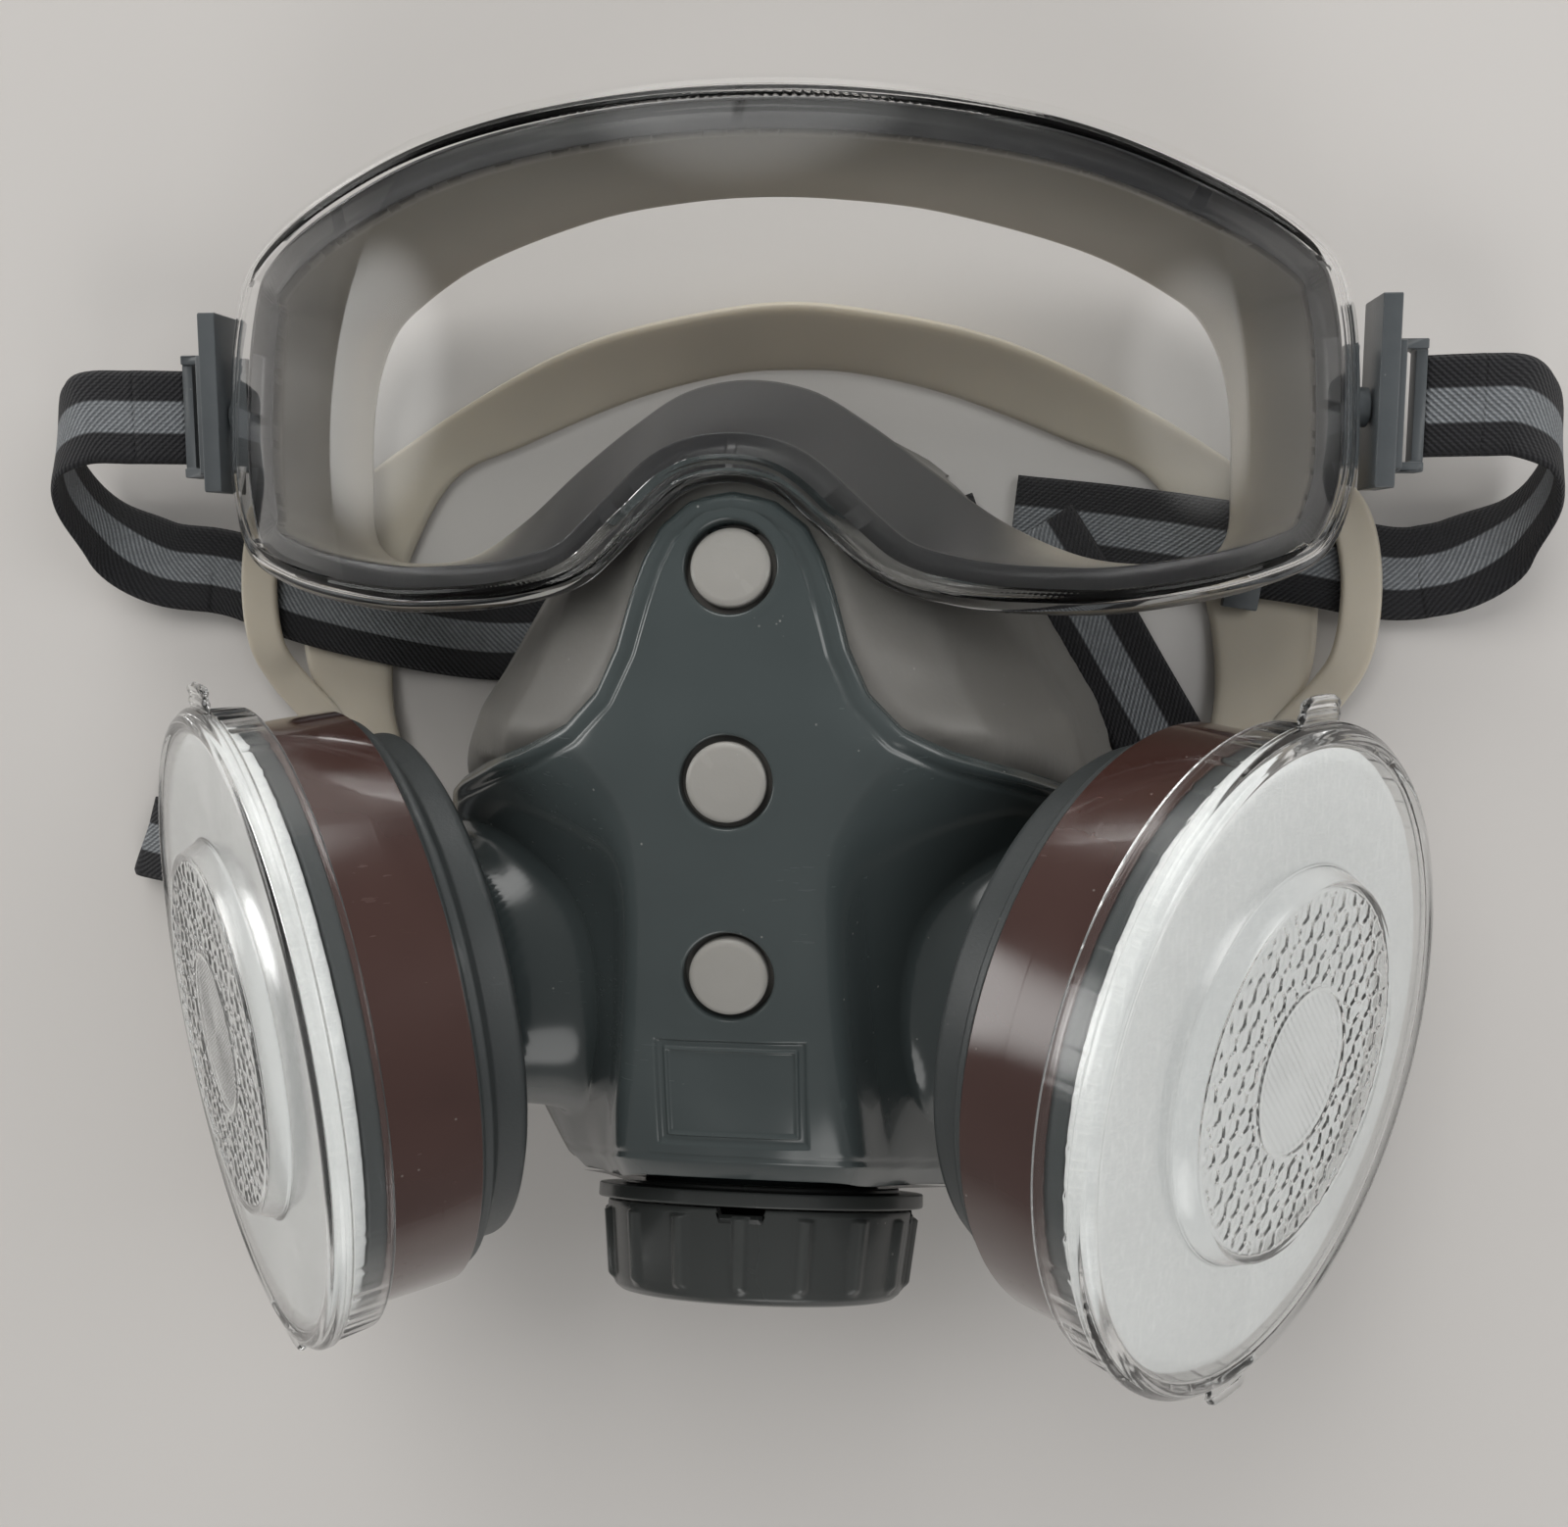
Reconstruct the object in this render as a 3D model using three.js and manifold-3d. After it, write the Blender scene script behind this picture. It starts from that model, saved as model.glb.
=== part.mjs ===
// Half-mask respirator with two cartridges and safety goggles, lying on its face opening.
// Millimetres. X runs across the face, +Y towards the forehead, +Z away from the face.
// The origin lies on the resting plane, on the mask's mid-plane, below the middle stud.
import * as THREE from 'three';
import { mergeVertices } from 'three/addons/utils/BufferGeometryUtils.js';
import Module from 'manifold-3d';

const wasm = await Module();
wasm.setup();

const gap = 0.3;                 // clearance between touching pieces
const shellWall = 2.4;
const sealWall = 4;              // wall of the face seal under the shell
const shellRim = 24;             // height of the shell's lower rim
const roundSegments = 24;

const portPlace = [48.6, -37, 47.6];      // right inhalation port, outer face of the shell boss
const portAxis = [0.79, -0.1, 0.61];
const portRadius = 16;
const cartridgeRadius = 44.7;
const cartridgeBase = 5;         // distances along the port axis from the port plane
const cartridgeRim = 30.5;
const coverFace = 36;
const coverRadius = 48.8;

const valvePlace = [0, -70.9, 44.6];      // exhalation valve, outer face of the shell's chin wall
const valveTilt = 20.5 * Math.PI / 180;   // how far the valve axis rises from -Y
const valveHole = 19;
const valveFlange = 26.3;
const capDepth = 17.6;

const lensRadius = 109;          // bend of the goggle lens across the face
const lensFall = 95;             // bend of the lens from brow to nose
const lensCrown = 82;            // highest point of the lens
const lensWall = 2.2;
const strapWidth = 16;
const strapWall = 1.4;

const colours = {
  seal: 0x87817a, shell: 0x3b4544, stud: 0x8c8983, gasket: 0x2a2b2b, case: 0x3d4142,
  label: 0x3d2523, carbon: 0x1c1c1c, grid: 0x55585a, pad: 0xf1f1ee, clear: 0xdfe6e8,
  flap: 0xb9b4a4, valve: 0x3a3c3b, lens: 0xe6eef0, frame: 0x5c5a52, clip: 0x4a4f53,
  strap: 0x17181a, cradle: 0x8d8778,
};

function paint(colour, roughness = 0.6) {
  return new THREE.MeshStandardMaterial({ color: colours[colour], roughness, metalness: 0 });
}

const respirator = new THREE.Group();

function place(parent, name, geometry, colour, roughness) {
  const mesh = new THREE.Mesh(geometry, paint(colour, roughness));
  mesh.name = name;
  parent.add(mesh);
  return mesh;
}

// --- solids ---------------------------------------------------------------------------------

function volumeOf(position, index) {
  const [a, b, c] = [new THREE.Vector3(), new THREE.Vector3(), new THREE.Vector3()];
  let sum = 0;
  for (let i = 0; i < index.length; i += 3) {
    a.fromArray(position, 3 * index[i]);
    b.fromArray(position, 3 * index[i + 1]);
    c.fromArray(position, 3 * index[i + 2]);
    sum += a.dot(b.cross(c));
  }
  return sum;
}

function geometryFrom(position, index) {
  const turned = volumeOf(position, index) < 0;
  const faces = turned ? index.map((_, i) => index[i - (i % 3) + 2 - (i % 3)]) : index;
  const geometry = new THREE.BufferGeometry();
  geometry.setAttribute('position', new THREE.Float32BufferAttribute(position, 3));
  geometry.setIndex(faces);
  return geometry;
}

// Closed skin through rings of equally many points. A closed path joins its last ring to its
// first, and an open one is capped at both ends, in the plane of two axes.
function skin(rings, closedPath, capAxes = ['x', 'z']) {
  const count = rings[0].length;
  const position = rings.flat().flatMap((p) => [p.x, p.y, p.z]);
  const index = [];
  const spans = closedPath ? rings.length : rings.length - 1;
  for (let i = 0; i < spans; i += 1) {
    const next = (i + 1) % rings.length;
    for (let j = 0; j < count; j += 1) {
      const [a, b] = [i * count + j, i * count + (j + 1) % count];
      const [c, d] = [next * count + j, next * count + (j + 1) % count];
      index.push(a, b, d, a, d, c);
    }
  }
  if (!closedPath) {
    const [u, v] = capAxes;
    const quad = [[0, 1, 2], [0, 2, 3]];
    const capOf = (ring) => (count === 4 ? quad : THREE.ShapeUtils.triangulateShape(
      ring.map((p) => new THREE.Vector2(p[u], p[v])), []));
    const start = (rings.length - 1) * count;
    const wallEnd = index.length;
    const first = capOf(rings[0]);
    index.push(...first.flat(), ...capOf(rings.at(-1)).flat().map((k) => k + start));
    matchCaps(index, wallEnd, first.length * 3);
  }
  return geometryFrom(position, index);
}

// Turns each cap so that its edges run against the wall's edges.
function matchCaps(index, wallEnd, firstLength) {
  const edges = new Set();
  for (let i = 0; i < wallEnd; i += 3) {
    for (let k = 0; k < 3; k += 1) edges.add(`${index[i + k]},${index[i + (k + 1) % 3]}`);
  }
  const mend = (from, to) => {
    let wrong = false;
    for (let i = from; i < to; i += 3) {
      for (let k = 0; k < 3; k += 1) wrong ||= edges.has(`${index[i + k]},${index[i + (k + 1) % 3]}`);
    }
    if (!wrong) return;
    for (let i = from; i < to; i += 3) [index[i + 1], index[i + 2]] = [index[i + 2], index[i + 1]];
  };
  mend(wallEnd, wallEnd + firstLength);
  mend(wallEnd + firstLength, index.length);
}

function toSolid(geometry, matrix) {
  let plain = geometry.clone();
  plain.deleteAttribute('normal');
  plain.deleteAttribute('uv');
  if (matrix) plain.applyMatrix4(matrix);
  plain = mergeVertices(plain, 1e-4);
  const mesh = new wasm.Mesh({
    numProp: 3,
    vertProperties: Float32Array.from(plain.attributes.position.array),
    triVerts: Uint32Array.from(plain.index.array),
  });
  return new wasm.Manifold(mesh);
}

function fromSolid(solid) {
  const mesh = solid.getMesh();
  return geometryFrom(Array.from(mesh.vertProperties), Array.from(mesh.triVerts));
}

// Keeps the largest body of a solid, so that no sliver left by a cut remains.
function largest(solid) {
  const bodies = solid.decompose();
  return bodies.reduce((best, body) => (body.volume() > best.volume() ? body : best));
}

// Turned body about local Z. The profile is a closed loop of [radius, height] pairs, and it may
// start and end on the axis.
function turned(profile, segments = roundSegments) {
  const onAxis = profile[0][0] === 0;
  const points = profile.map(([r, h]) => new THREE.Vector2(r, h));
  if (!onAxis) points.push(points[0].clone());
  const lathe = new THREE.LatheGeometry(points, segments);
  lathe.rotateX(Math.PI / 2);
  lathe.deleteAttribute('normal');
  lathe.deleteAttribute('uv');
  const merged = mergeVertices(lathe, 1e-4);
  const faces = [];
  const index = merged.index.array;
  for (let i = 0; i < index.length; i += 3) {
    const [a, b, c] = [index[i], index[i + 1], index[i + 2]];
    if (a !== b && b !== c && c !== a) faces.push(a, b, c);
  }
  return geometryFrom(Array.from(merged.attributes.position.array), faces);
}

const ringProfile = (inner, outer, low, high) => [[inner, low], [outer, low], [outer, high], [inner, high]];
const discProfile = (radius, low, high) => [[0, low], [radius, low], [radius, high], [0, high]];

function box(width, depth, height, x = 0, y = 0, z = 0) {
  return new THREE.BoxGeometry(width, depth, height).translate(x, y, z);
}

// Matrix that carries local Z to a direction, with local Y kept as near to +Y as it can be.
function facing(origin, direction) {
  const z = new THREE.Vector3(...direction).normalize();
  const x = new THREE.Vector3(0, 1, 0).cross(z);
  if (x.length() < 0.4) x.set(1, 0, 0);
  x.addScaledVector(z, -x.dot(z)).normalize();
  const y = z.clone().cross(x);
  return new THREE.Matrix4().makeBasis(x, y, z).setPosition(...origin);
}

function facingGroup(origin, direction) {
  const group = new THREE.Group();
  group.applyMatrix4(facing(origin, direction));
  respirator.add(group);
  return group;
}

// --- mask sections --------------------------------------------------------------------------
// Half-sections across the mask at stations of Y: [x, z] from the mid-plane to the side.

const maskSections = [
  [57, [[0, 9], [2, 9], [4, 8.6], [6, 8], [7.5, 7.2], [8.5, 6], [9, 3]]],
  [53, [[0, 32], [2.5, 31.5], [5, 29], [7.5, 24], [9.5, 18], [12, 11], [13.5, 5]]],
  [47.5, [[0, 63], [4, 62.5], [8.5, 59.5], [12.5, 52], [16, 40], [20, 24], [23.5, 6]]],
  [40, [[0, 75.2], [4, 74.8], [8, 72.6], [14.5, 66], [21, 54], [26, 39], [33, 8]]],
  [28, [[0, 77.8], [6, 77.6], [11, 76.4], [15.5, 73.8], [26.5, 61], [34, 40], [42, 8]]],
  [14, [[0, 80.2], [7, 80], [12, 79.2], [18, 77], [31.5, 64], [42.5, 38], [50.5, 8]]],
  [4, [[0, 82], [7, 81.9], [12.8, 81], [21, 78.4], [37, 65.5], [50, 37], [56.5, 8]]],
  [-6, [[0, 82.2], [7, 82.1], [13.2, 81], [21, 75.6], [38, 59], [52, 38], [59, 9]]],
  [-20, [[0, 81.2], [7.5, 81.1], [14, 79.4], [19.5, 69], [34, 53], [52, 36], [61, 10]]],
  [-38, [[0, 79.2], [8, 79.1], [15.2, 77.4], [20, 66.5], [32, 50], [50, 33], [60.5, 10]]],
  [-52, [[0, 76.6], [9, 76.4], [16.6, 74.6], [21, 65], [30, 49], [44, 33], [57, 10]]],
  [-62, [[0, 73.4], [9, 73.2], [17, 71.2], [22, 62], [28, 49.5], [38, 34], [52, 10]]],
  [-75, [[0, 66], [9, 65.8], [16.5, 64], [21, 57], [26, 47], [34, 33], [46, 10]]],
  [-90, [[0, 58], [9, 57.8], [16, 56], [20, 50], [24, 42], [30, 32], [38, 10]]],
];

// One curve along Y through each point of the half-sections.
const sectionCurves = [0, 1, 2, 3, 4, 5, 6].map((j) => {
  const along = maskSections.map(([y, points]) => new THREE.Vector3(points[j][0], y, points[j][1]));
  return new THREE.CatmullRomCurve3(along, false, 'centripetal');
});

// Half-section at a station between the ends, u from 0 at the nose to 1 at the chin.
function halfSection(u, inset) {
  const points = sectionCurves.map((curve) => curve.getPoint(u));
  const y = points[3].y;
  return points.map((p, j) => {
    const before = points[Math.max(j - 1, 0)];
    const after = points[Math.min(j + 1, points.length - 1)];
    const along = new THREE.Vector2(after.x - before.x, after.z - before.z).normalize();
    if (j === 0) along.set(1, 0);
    return new THREE.Vector3(Math.max(p.x + along.y * inset, 0), y, p.z - along.x * inset);
  });
}

// Solid under the mask surface, inset by a distance, down to a floor height. It runs between two
// of the evenly spaced stations, and foot widens it at the floor.
const stationCount = 20;
function maskBody(inset, floor, first = 0, last = stationCount, foot = 0) {
  const rings = [];
  for (let i = first; i <= last; i += 1) {
    const half = halfSection(i / stationCount, inset);
    const side = half.at(-1);
    half.push(new THREE.Vector3(side.x + foot, side.y, floor));
    const mirrored = half.slice(1).reverse().map((p) => new THREE.Vector3(-p.x, p.y, p.z));
    rings.push([...half, ...mirrored]);
  }
  return skin(rings, false);
}

// Right half of the shell's outline seen from the front, from the nose tip to the chin.
const shellOutline = [
  [0, 39.3], [6, 38.2], [10.6, 34.6], [13, 30], [14.8, 24.6], [16.6, 18], [19.4, 12], [24, 7.2],
  [31, 3.2], [41, -1.2], [50, -5.6], [58, -11], [58.5, -38], [54, -52], [45, -62], [33, -76],
  [26, -92], [0, -92],
];

function outlinePrism(grow, low, high) {
  const half = shellOutline.map(([x, y], i) => {
    const [bx, by] = shellOutline[Math.max(i - 1, 0)];
    const [ax, ay] = shellOutline[Math.min(i + 1, shellOutline.length - 1)];
    const normal = new THREE.Vector2(-(ay - by), ax - bx).normalize();
    return i === 0 ? [0, y + grow] : [x === 0 ? 0 : x + normal.x * grow, y + normal.y * grow];
  });
  const left = half.slice(1, -1).reverse().map(([x, y]) => [-x, y]);
  const outline = [...half, ...left].map(([x, y]) => new THREE.Vector2(x, y));
  const shape = new THREE.Shape(outline);
  return new THREE.ExtrudeGeometry(shape, { depth: high - low, bevelEnabled: false }).translate(0, 0, low);
}

const mirroredX = ([x, y, z]) => [-x, y, z];
const valveAxis = [0, -Math.cos(valveTilt), Math.sin(valveTilt)];
const valveFrame = facing(valvePlace, valveAxis);
const portFrames = [facing(mirroredX(portPlace), mirroredX(portAxis)), facing(portPlace, portAxis)];

const studPlaces = {
  top: { at: [0, 28.9, 77.4], tilt: 16 },
  middle: { at: [0, 0, 82.2], tilt: 2 },
  bottom: { at: [0, -27.4, 80.6], tilt: -5 },
};
const studAxis = (tilt) => [0, Math.sin(tilt * Math.PI / 180), Math.cos(tilt * Math.PI / 180)];
const studFrames = Object.values(studPlaces).map(({ at, tilt }) => facing(at, studAxis(tilt)));

function cylinderSolid(frame, radius, low, high, segments = roundSegments) {
  return toSolid(turned(discProfile(radius, low, high), segments), frame);
}

// Everything beyond the chin wall's plane, moved by a distance along the valve axis.
function beyondValve(distance) {
  return toSolid(box(260, 260, 100, 0, 0, 50 + distance), valveFrame);
}

function frontShell() {
  let shell = toSolid(maskBody(0, -4, 3));
  portFrames.forEach((frame) => { shell = shell.add(cylinderSolid(frame, 21, -13, -gap)); });
  shell = shell.intersect(toSolid(outlinePrism(0, shellRim, 100))).subtract(beyondValve(0));
  const inside = toSolid(maskBody(shellWall, -8, 1)).subtract(beyondValve(-shellWall));
  shell = shell.subtract(inside).subtract(cylinderSolid(valveFrame, valveHole, -8, 4));
  portFrames.forEach((frame) => { shell = shell.subtract(cylinderSolid(frame, portRadius, -24, 2)); });
  studFrames.forEach((frame) => { shell = shell.subtract(cylinderSolid(frame, 6.3, -9, 6, 20)); });
  // A blank plate is sunk into the front, below the bottom stud.
  const plate = box(21.2, 16.5, 3, 0, 0, 1.1).rotateX(0.17).translate(0, -45, 77.3);
  return fromSolid(largest(shell.subtract(toSolid(plate))));
}

function faceSeal() {
  const whole = toSolid(maskBody(1.4, 0, 0, 19, 2.5));
  const under = toSolid(maskBody(shellWall + gap, 0)).subtract(beyondValve(-shellWall - gap));
  const low = toSolid(box(200, 240, shellRim - gap + 20, 0, -20, (shellRim - gap - 20) / 2));
  const chin = toSolid(box(200, 240, 17 + 20, 0, -20, (17 - 20) / 2));
  const beforeChin = toSolid(box(200, 200, 200, 0, 26, 0));
  let seal = whole.intersect(under)
    .add(whole.intersect(low).intersect(beforeChin))
    .add(whole.intersect(chin))
    .add(whole.subtract(toSolid(outlinePrism(gap, -10, 100))).intersect(beforeChin));
  seal = seal.subtract(toSolid(maskBody(shellWall + gap + sealWall, -4, 3, 18, -3)));
  seal = seal.subtract(cylinderSolid(valveFrame, valveHole + 1.5, -12, 12));
  portFrames.forEach((frame) => { seal = seal.subtract(cylinderSolid(frame, 21 + gap, -26, 2)); });
  studFrames.forEach((frame) => {
    seal = seal.subtract(cylinderSolid(frame, 3.4, -14, 6, 12));
    seal = seal.subtract(cylinderSolid(frame, 5.9, -2.6, 6, 16));
    seal = seal.subtract(cylinderSolid(frame, 4.3, -12, -6.7, 12));
  });
  for (const [x, y, turn, height] of [[-51, 16, 0.05, 2.8], [36.5, 34, 0.1, 4.6], [55.5, 15.5, -1.027, 5]]) {
    const notch = box(56, strapWidth + 5, height + 2, 0, 0, height / 2 - 1).rotateZ(turn).translate(x, y, 0);
    seal = seal.subtract(toSolid(notch));
  }
  return fromSolid(largest(seal));
}

place(respirator, 'front_shell', frontShell(), 'shell', 0.25);
place(respirator, 'face_seal', faceSeal(), 'seal', 0.55);

for (const [name, { at, tilt }] of Object.entries(studPlaces)) {
  const profile = [[0, -8.6], [3.9, -8.6], [3.9, -7.4], [3, -7], [3, -2.3], [5.5, -2.3], [5.5, -0.4],
    [4.9, 0.1], [0, 0.3]];
  place(facingGroup(at, studAxis(tilt)), `stud_${name}`, turned(profile, 20), 'stud');
}


// --- exhalation valve -----------------------------------------------------------------------

function wheel(outer, inner, hub, low, high, spokes, spokeWidth) {
  let solid = toSolid(turned(ringProfile(inner, outer, low, high)));
  solid = solid.add(toSolid(turned(discProfile(hub, low, high), 12)));
  for (let i = 0; i < spokes; i += 1) {
    const reach = inner + 0.5;
    const bar = box(reach, spokeWidth, high - low, reach / 2, 0, (low + high) / 2);
    bar.rotateZ((2 * Math.PI * i) / spokes);
    solid = solid.add(toSolid(bar));
  }
  return fromSolid(solid);
}

function exhalationCap() {
  const cup = [[0, 15.6], [20.4, 15.6], [21.6, 14.6], [22.2, 3.6], [25, 3.6], [23.4, 15.4],
    [22.4, 17], [20.6, capDepth], [0, capDepth]];
  let cap = toSolid(turned(cup));
  const ribCount = 16;
  for (let i = 0; i < ribCount; i += 1) {
    const rib = box(2.2, 1.5, 11.4, 0, 0, 0);
    rib.applyMatrix4(new THREE.Matrix4().makeRotationY(-0.125));
    rib.translate(23.9, 0, 10.1).rotateZ((2 * Math.PI * (i + 0.5)) / ribCount);
    cap = cap.add(toSolid(rib));
  }
  const outletCount = 4;
  for (let i = 0; i < outletCount; i += 1) {
    const outlet = box(8, 7, 3, 24, 0, 3.6).rotateZ((2 * Math.PI * i) / outletCount);
    cap = cap.subtract(toSolid(outlet));
  }
  return fromSolid(cap);
}

function exhalationValve() {
  const group = facingGroup(valvePlace, valveAxis);
  place(group, 'exhalation_seat', wheel(valveHole - gap, 15, 3.2, -2.2, -0.4, 4, 2), 'valve');
  place(group, 'exhalation_flap', turned(discProfile(16.6, 0, 0.8), 24), 'flap', 0.5);
  const flange = [[17.5, gap], [22.5, gap], [22.5, 1.1], [valveFlange, 1.1], [valveFlange, 3.3],
    [17.5, 3.3]];
  place(group, 'exhalation_flange', turned(flange), 'valve', 0.3);
  place(group, 'exhalation_cap', exhalationCap(), 'valve', 0.3);
}
exhalationValve();

// --- inhalation ports and cartridges --------------------------------------------------------

const lugCount = 3;

// Neck lugs stand below the port ring at rest and pass its notches when the cartridge is turned.
function bayonetTurns(solid, radius, length, width, low, high, phase, action) {
  let result = solid;
  for (let i = 0; i < lugCount; i += 1) {
    const lug = box(length, width, high - low, radius, 0, (low + high) / 2);
    lug.rotateZ((2 * Math.PI * i) / lugCount + phase);
    result = result[action](toSolid(lug));
  }
  return result;
}

function portRing() {
  let ring = toSolid(turned([[14.1, 0], [21.4, 0], [21.4, 2.4], [20.6, 3.2], [14.1, 3.2]]));
  ring = ring.add(toSolid(box(3.4, 3, 2, 22, 0, 1)));
  return fromSolid(bayonetTurns(ring, 14, 4, 6, -1, 5, Math.PI / 3, 'subtract'));
}

function cartridgeCase() {
  const r = cartridgeRadius;
  const b = cartridgeBase;
  const body = [[11, -2.6], [13.2, -2.6], [13.2, b], [38.6, b], [40.6, b + 1.2], [40.6, b + 5.6],
    [r - 0.9, b + 7.4], [r - 0.9, b + 8.6], [r, b + 9], [r, cartridgeRim], [r - 2, cartridgeRim],
    [r - 2, b + 9.6], [39, b + 2.4], [11, b + 2.4]];
  return fromSolid(bayonetTurns(toSolid(turned(body, 28)), 13.6, 2.6, 5, -2.4, -0.6, 0, 'add'));
}

function cartridgeCover() {
  const r = coverRadius;
  const low = coverFace - 8.5;
  const cover = [[0, coverFace + 1.9], [26.6, coverFace + 1.9], [28, coverFace - 1],
    [46.4, coverFace - 1], [46.8, coverFace - 2], [46.4, low], [r - 0.9, low], [r - 0.7, coverFace - 2.6],
    [r, coverFace - 2.4], [r, coverFace - 1.2], [r - 1.2, coverFace], [29, coverFace],
    [27.5, coverFace + 3], [0, coverFace + 3]];
  let solid = toSolid(turned(cover, 28));
  for (const side of [-1, 1]) {
    const tab = box(12, 5.6, 1.1, 0, side * (r + 1.4), coverFace - 1.9);
    solid = solid.add(toSolid(tab));
  }
  return fromSolid(solid);
}

function retainingGrid() {
  let grid = toSolid(turned(discProfile(cartridgeRadius - 2.4, 25, 26.2)));
  const ring = 8;
  for (let i = 0; i < ring; i += 1) {
    const slot = box(24, 6, 4, 24, 0, 25.6).rotateZ((2 * Math.PI * i) / ring);
    grid = grid.subtract(toSolid(slot));
  }
  return fromSolid(grid);
}

function inhalationSide(side, mirror) {
  const group = facingGroup(mirror(portPlace), mirror(portAxis));
  place(group, `${side}_port_ring`, portRing(), 'stud', 0.5);
  place(group, `${side}_port_gasket`, turned(ringProfile(14.4, 19.4, 3.5, 4.7)), 'gasket', 0.7);
  place(group, `${side}_inhalation_seat`, wheel(portRadius - gap, 12.6, 2.6, -7.4, -5.6, 3, 1.8), 'valve');
  place(group, `${side}_inhalation_flap`, turned(discProfile(13.8, -8.4, -7.7), 24), 'flap', 0.5);
  place(group, `${side}_cartridge_case`, cartridgeCase(), 'case', 0.45);
  const r = cartridgeRadius;
  const band = ringProfile(r + gap, r + 0.6, cartridgeBase + 9.2, cartridgeRim - 2.4);
  place(group, `${side}_cartridge_label`, turned(band, 28), 'label', 0.35);
  const bed = discProfile(r - 2.4, cartridgeBase + 10, 24.7);
  place(group, `${side}_carbon_bed`, turned(bed, 24), 'carbon', 0.9);
  place(group, `${side}_retaining_grid`, retainingGrid(), 'grid', 0.6);
  const pad = [[0, cartridgeRim + gap], [45.4, cartridgeRim + gap], [45.8, 32.4], [45.2, 34.4], [0, 34.6]];
  place(group, `${side}_prefilter_pad`, turned(pad, 28), 'pad', 0.95);
  place(group, `${side}_clear_cover`, cartridgeCover(), 'clear', 0.1);
}
inhalationSide('right', (p) => p);
inhalationSide('left', mirroredX);

// --- goggles --------------------------------------------------------------------------------

function lensHeight(x, y) {
  const across = lensRadius - Math.sqrt(lensRadius ** 2 - x * x);
  return lensCrown - across - ((y - 45) ** 2) / (2 * lensFall);
}

// Right half of the lens edge seen from the front, with the rear rim of the frame beside each
// point: [x, y] of the lens edge, then [x, y, z] of the rear rim's inner edge.
const goggleEdge = [
  [[0, 40], [0, 55.5, 58]],
  [[6.2, 38.6], [9, 54, 57.5]],
  [[12.5, 33.4], [17, 49.5, 56]],
  [[20.6, 26.6], [26, 43, 54]],
  [[29.8, 23.6], [36, 36, 47]],
  [[42, 22.3], [49, 30.5, 32]],
  [[55, 22.4], [60, 29, 19]],
  [[75, 25.8], [71.5, 29.5, 8.5]],
  [[86.4, 30.4], [75.5, 33.5, 7]],
  [[91.6, 40.4], [76, 43, 6.6]],
  [[92.2, 55], [75.4, 55, 6.6]],
  [[91, 68], [73, 64, 7.6]],
  [[88, 75.6], [69, 70, 10]],
  [[81, 80], [63, 73.6, 14]],
  [[66, 85.4], [50, 78.4, 23]],
  [[45.4, 91], [28, 82.4, 36]],
  [[20, 94.2], [12, 83.4, 43]],
  [[0, 95], [0, 83.6, 45]],
];

function mirroredLoop(half) {
  const left = half.slice(1, -1).reverse().map((p) => p.clone().setX(-p.x));
  return [...half, ...left];
}

// Unit vectors pointing out of a closed outline, in the XY plane.
function outwards(loop) {
  return loop.map((_, i) => {
    const before = loop[(i + loop.length - 1) % loop.length];
    const after = loop[(i + 1) % loop.length];
    return new THREE.Vector3(after.y - before.y, before.x - after.x, 0).normalize();
  });
}

function edgeLoops() {
  const lens = mirroredLoop(goggleEdge.map(([[x, y]]) => new THREE.Vector3(x, y, 0)));
  const rear = mirroredLoop(goggleEdge.map(([, p]) => new THREE.Vector3(...p)));
  return { lens, rear };
}

// Lens rings run from the edge inwards over the front, and back outwards over the rear.
function goggleLens() {
  const { lens } = edgeLoops();
  const normals = outwards(lens);
  const middle = new THREE.Vector3(0, 60, 0);
  const shares = [1, 0.8, 0.55, 0.3, 0.08];
  const ring = (share, drop, shrink) => lens.map((p, i) => {
    const q = middle.clone().lerp(p, share).addScaledVector(normals[i], -shrink);
    return q.setZ(lensHeight(q.x, q.y) - drop);
  });
  const rings = [ring(1, 4.6, 1.9), ring(1, 4.6, 0), ...shares.map((s) => ring(s, 0, s === 1 ? 0.3 : 0))];
  const back = shares.slice().reverse().map((s) => ring(s, lensWall, s === 1 ? 1.9 : 0));
  return closeLens(rings, back);
}

// Front and rear grids each end in a small polygon round the middle, closed by a fan.
function closeLens(front, back) {
  const rings = [...front, ...back];
  const count = rings[0].length;
  const frontEnd = front.length - 1;
  const position = rings.flat().flatMap((p) => [p.x, p.y, p.z]);
  const index = [];
  const join = (i, next) => {
    for (let j = 0; j < count; j += 1) {
      const [a, b] = [i * count + j, i * count + (j + 1) % count];
      const [c, d] = [next * count + j, next * count + (j + 1) % count];
      index.push(a, b, d, a, d, c);
    }
  };
  for (let i = 0; i < rings.length; i += 1) {
    if (i !== frontEnd) join(i, (i + 1) % rings.length);
  }
  const fan = (ringNumber, flip) => {
    const centre = position.length / 3;
    const points = rings[ringNumber];
    const sum = points.reduce((total, p) => total.add(p), new THREE.Vector3());
    sum.multiplyScalar(1 / count);
    position.push(sum.x, sum.y, sum.z);
    for (let j = 0; j < count; j += 1) {
      const [a, b] = [ringNumber * count + j, ringNumber * count + (j + 1) % count];
      index.push(...(flip ? [b, a, centre] : [a, b, centre]));
    }
  };
  fan(frontEnd, false);
  fan(frontEnd + 1, true);
  return geometryFrom(position, index);
}

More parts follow.
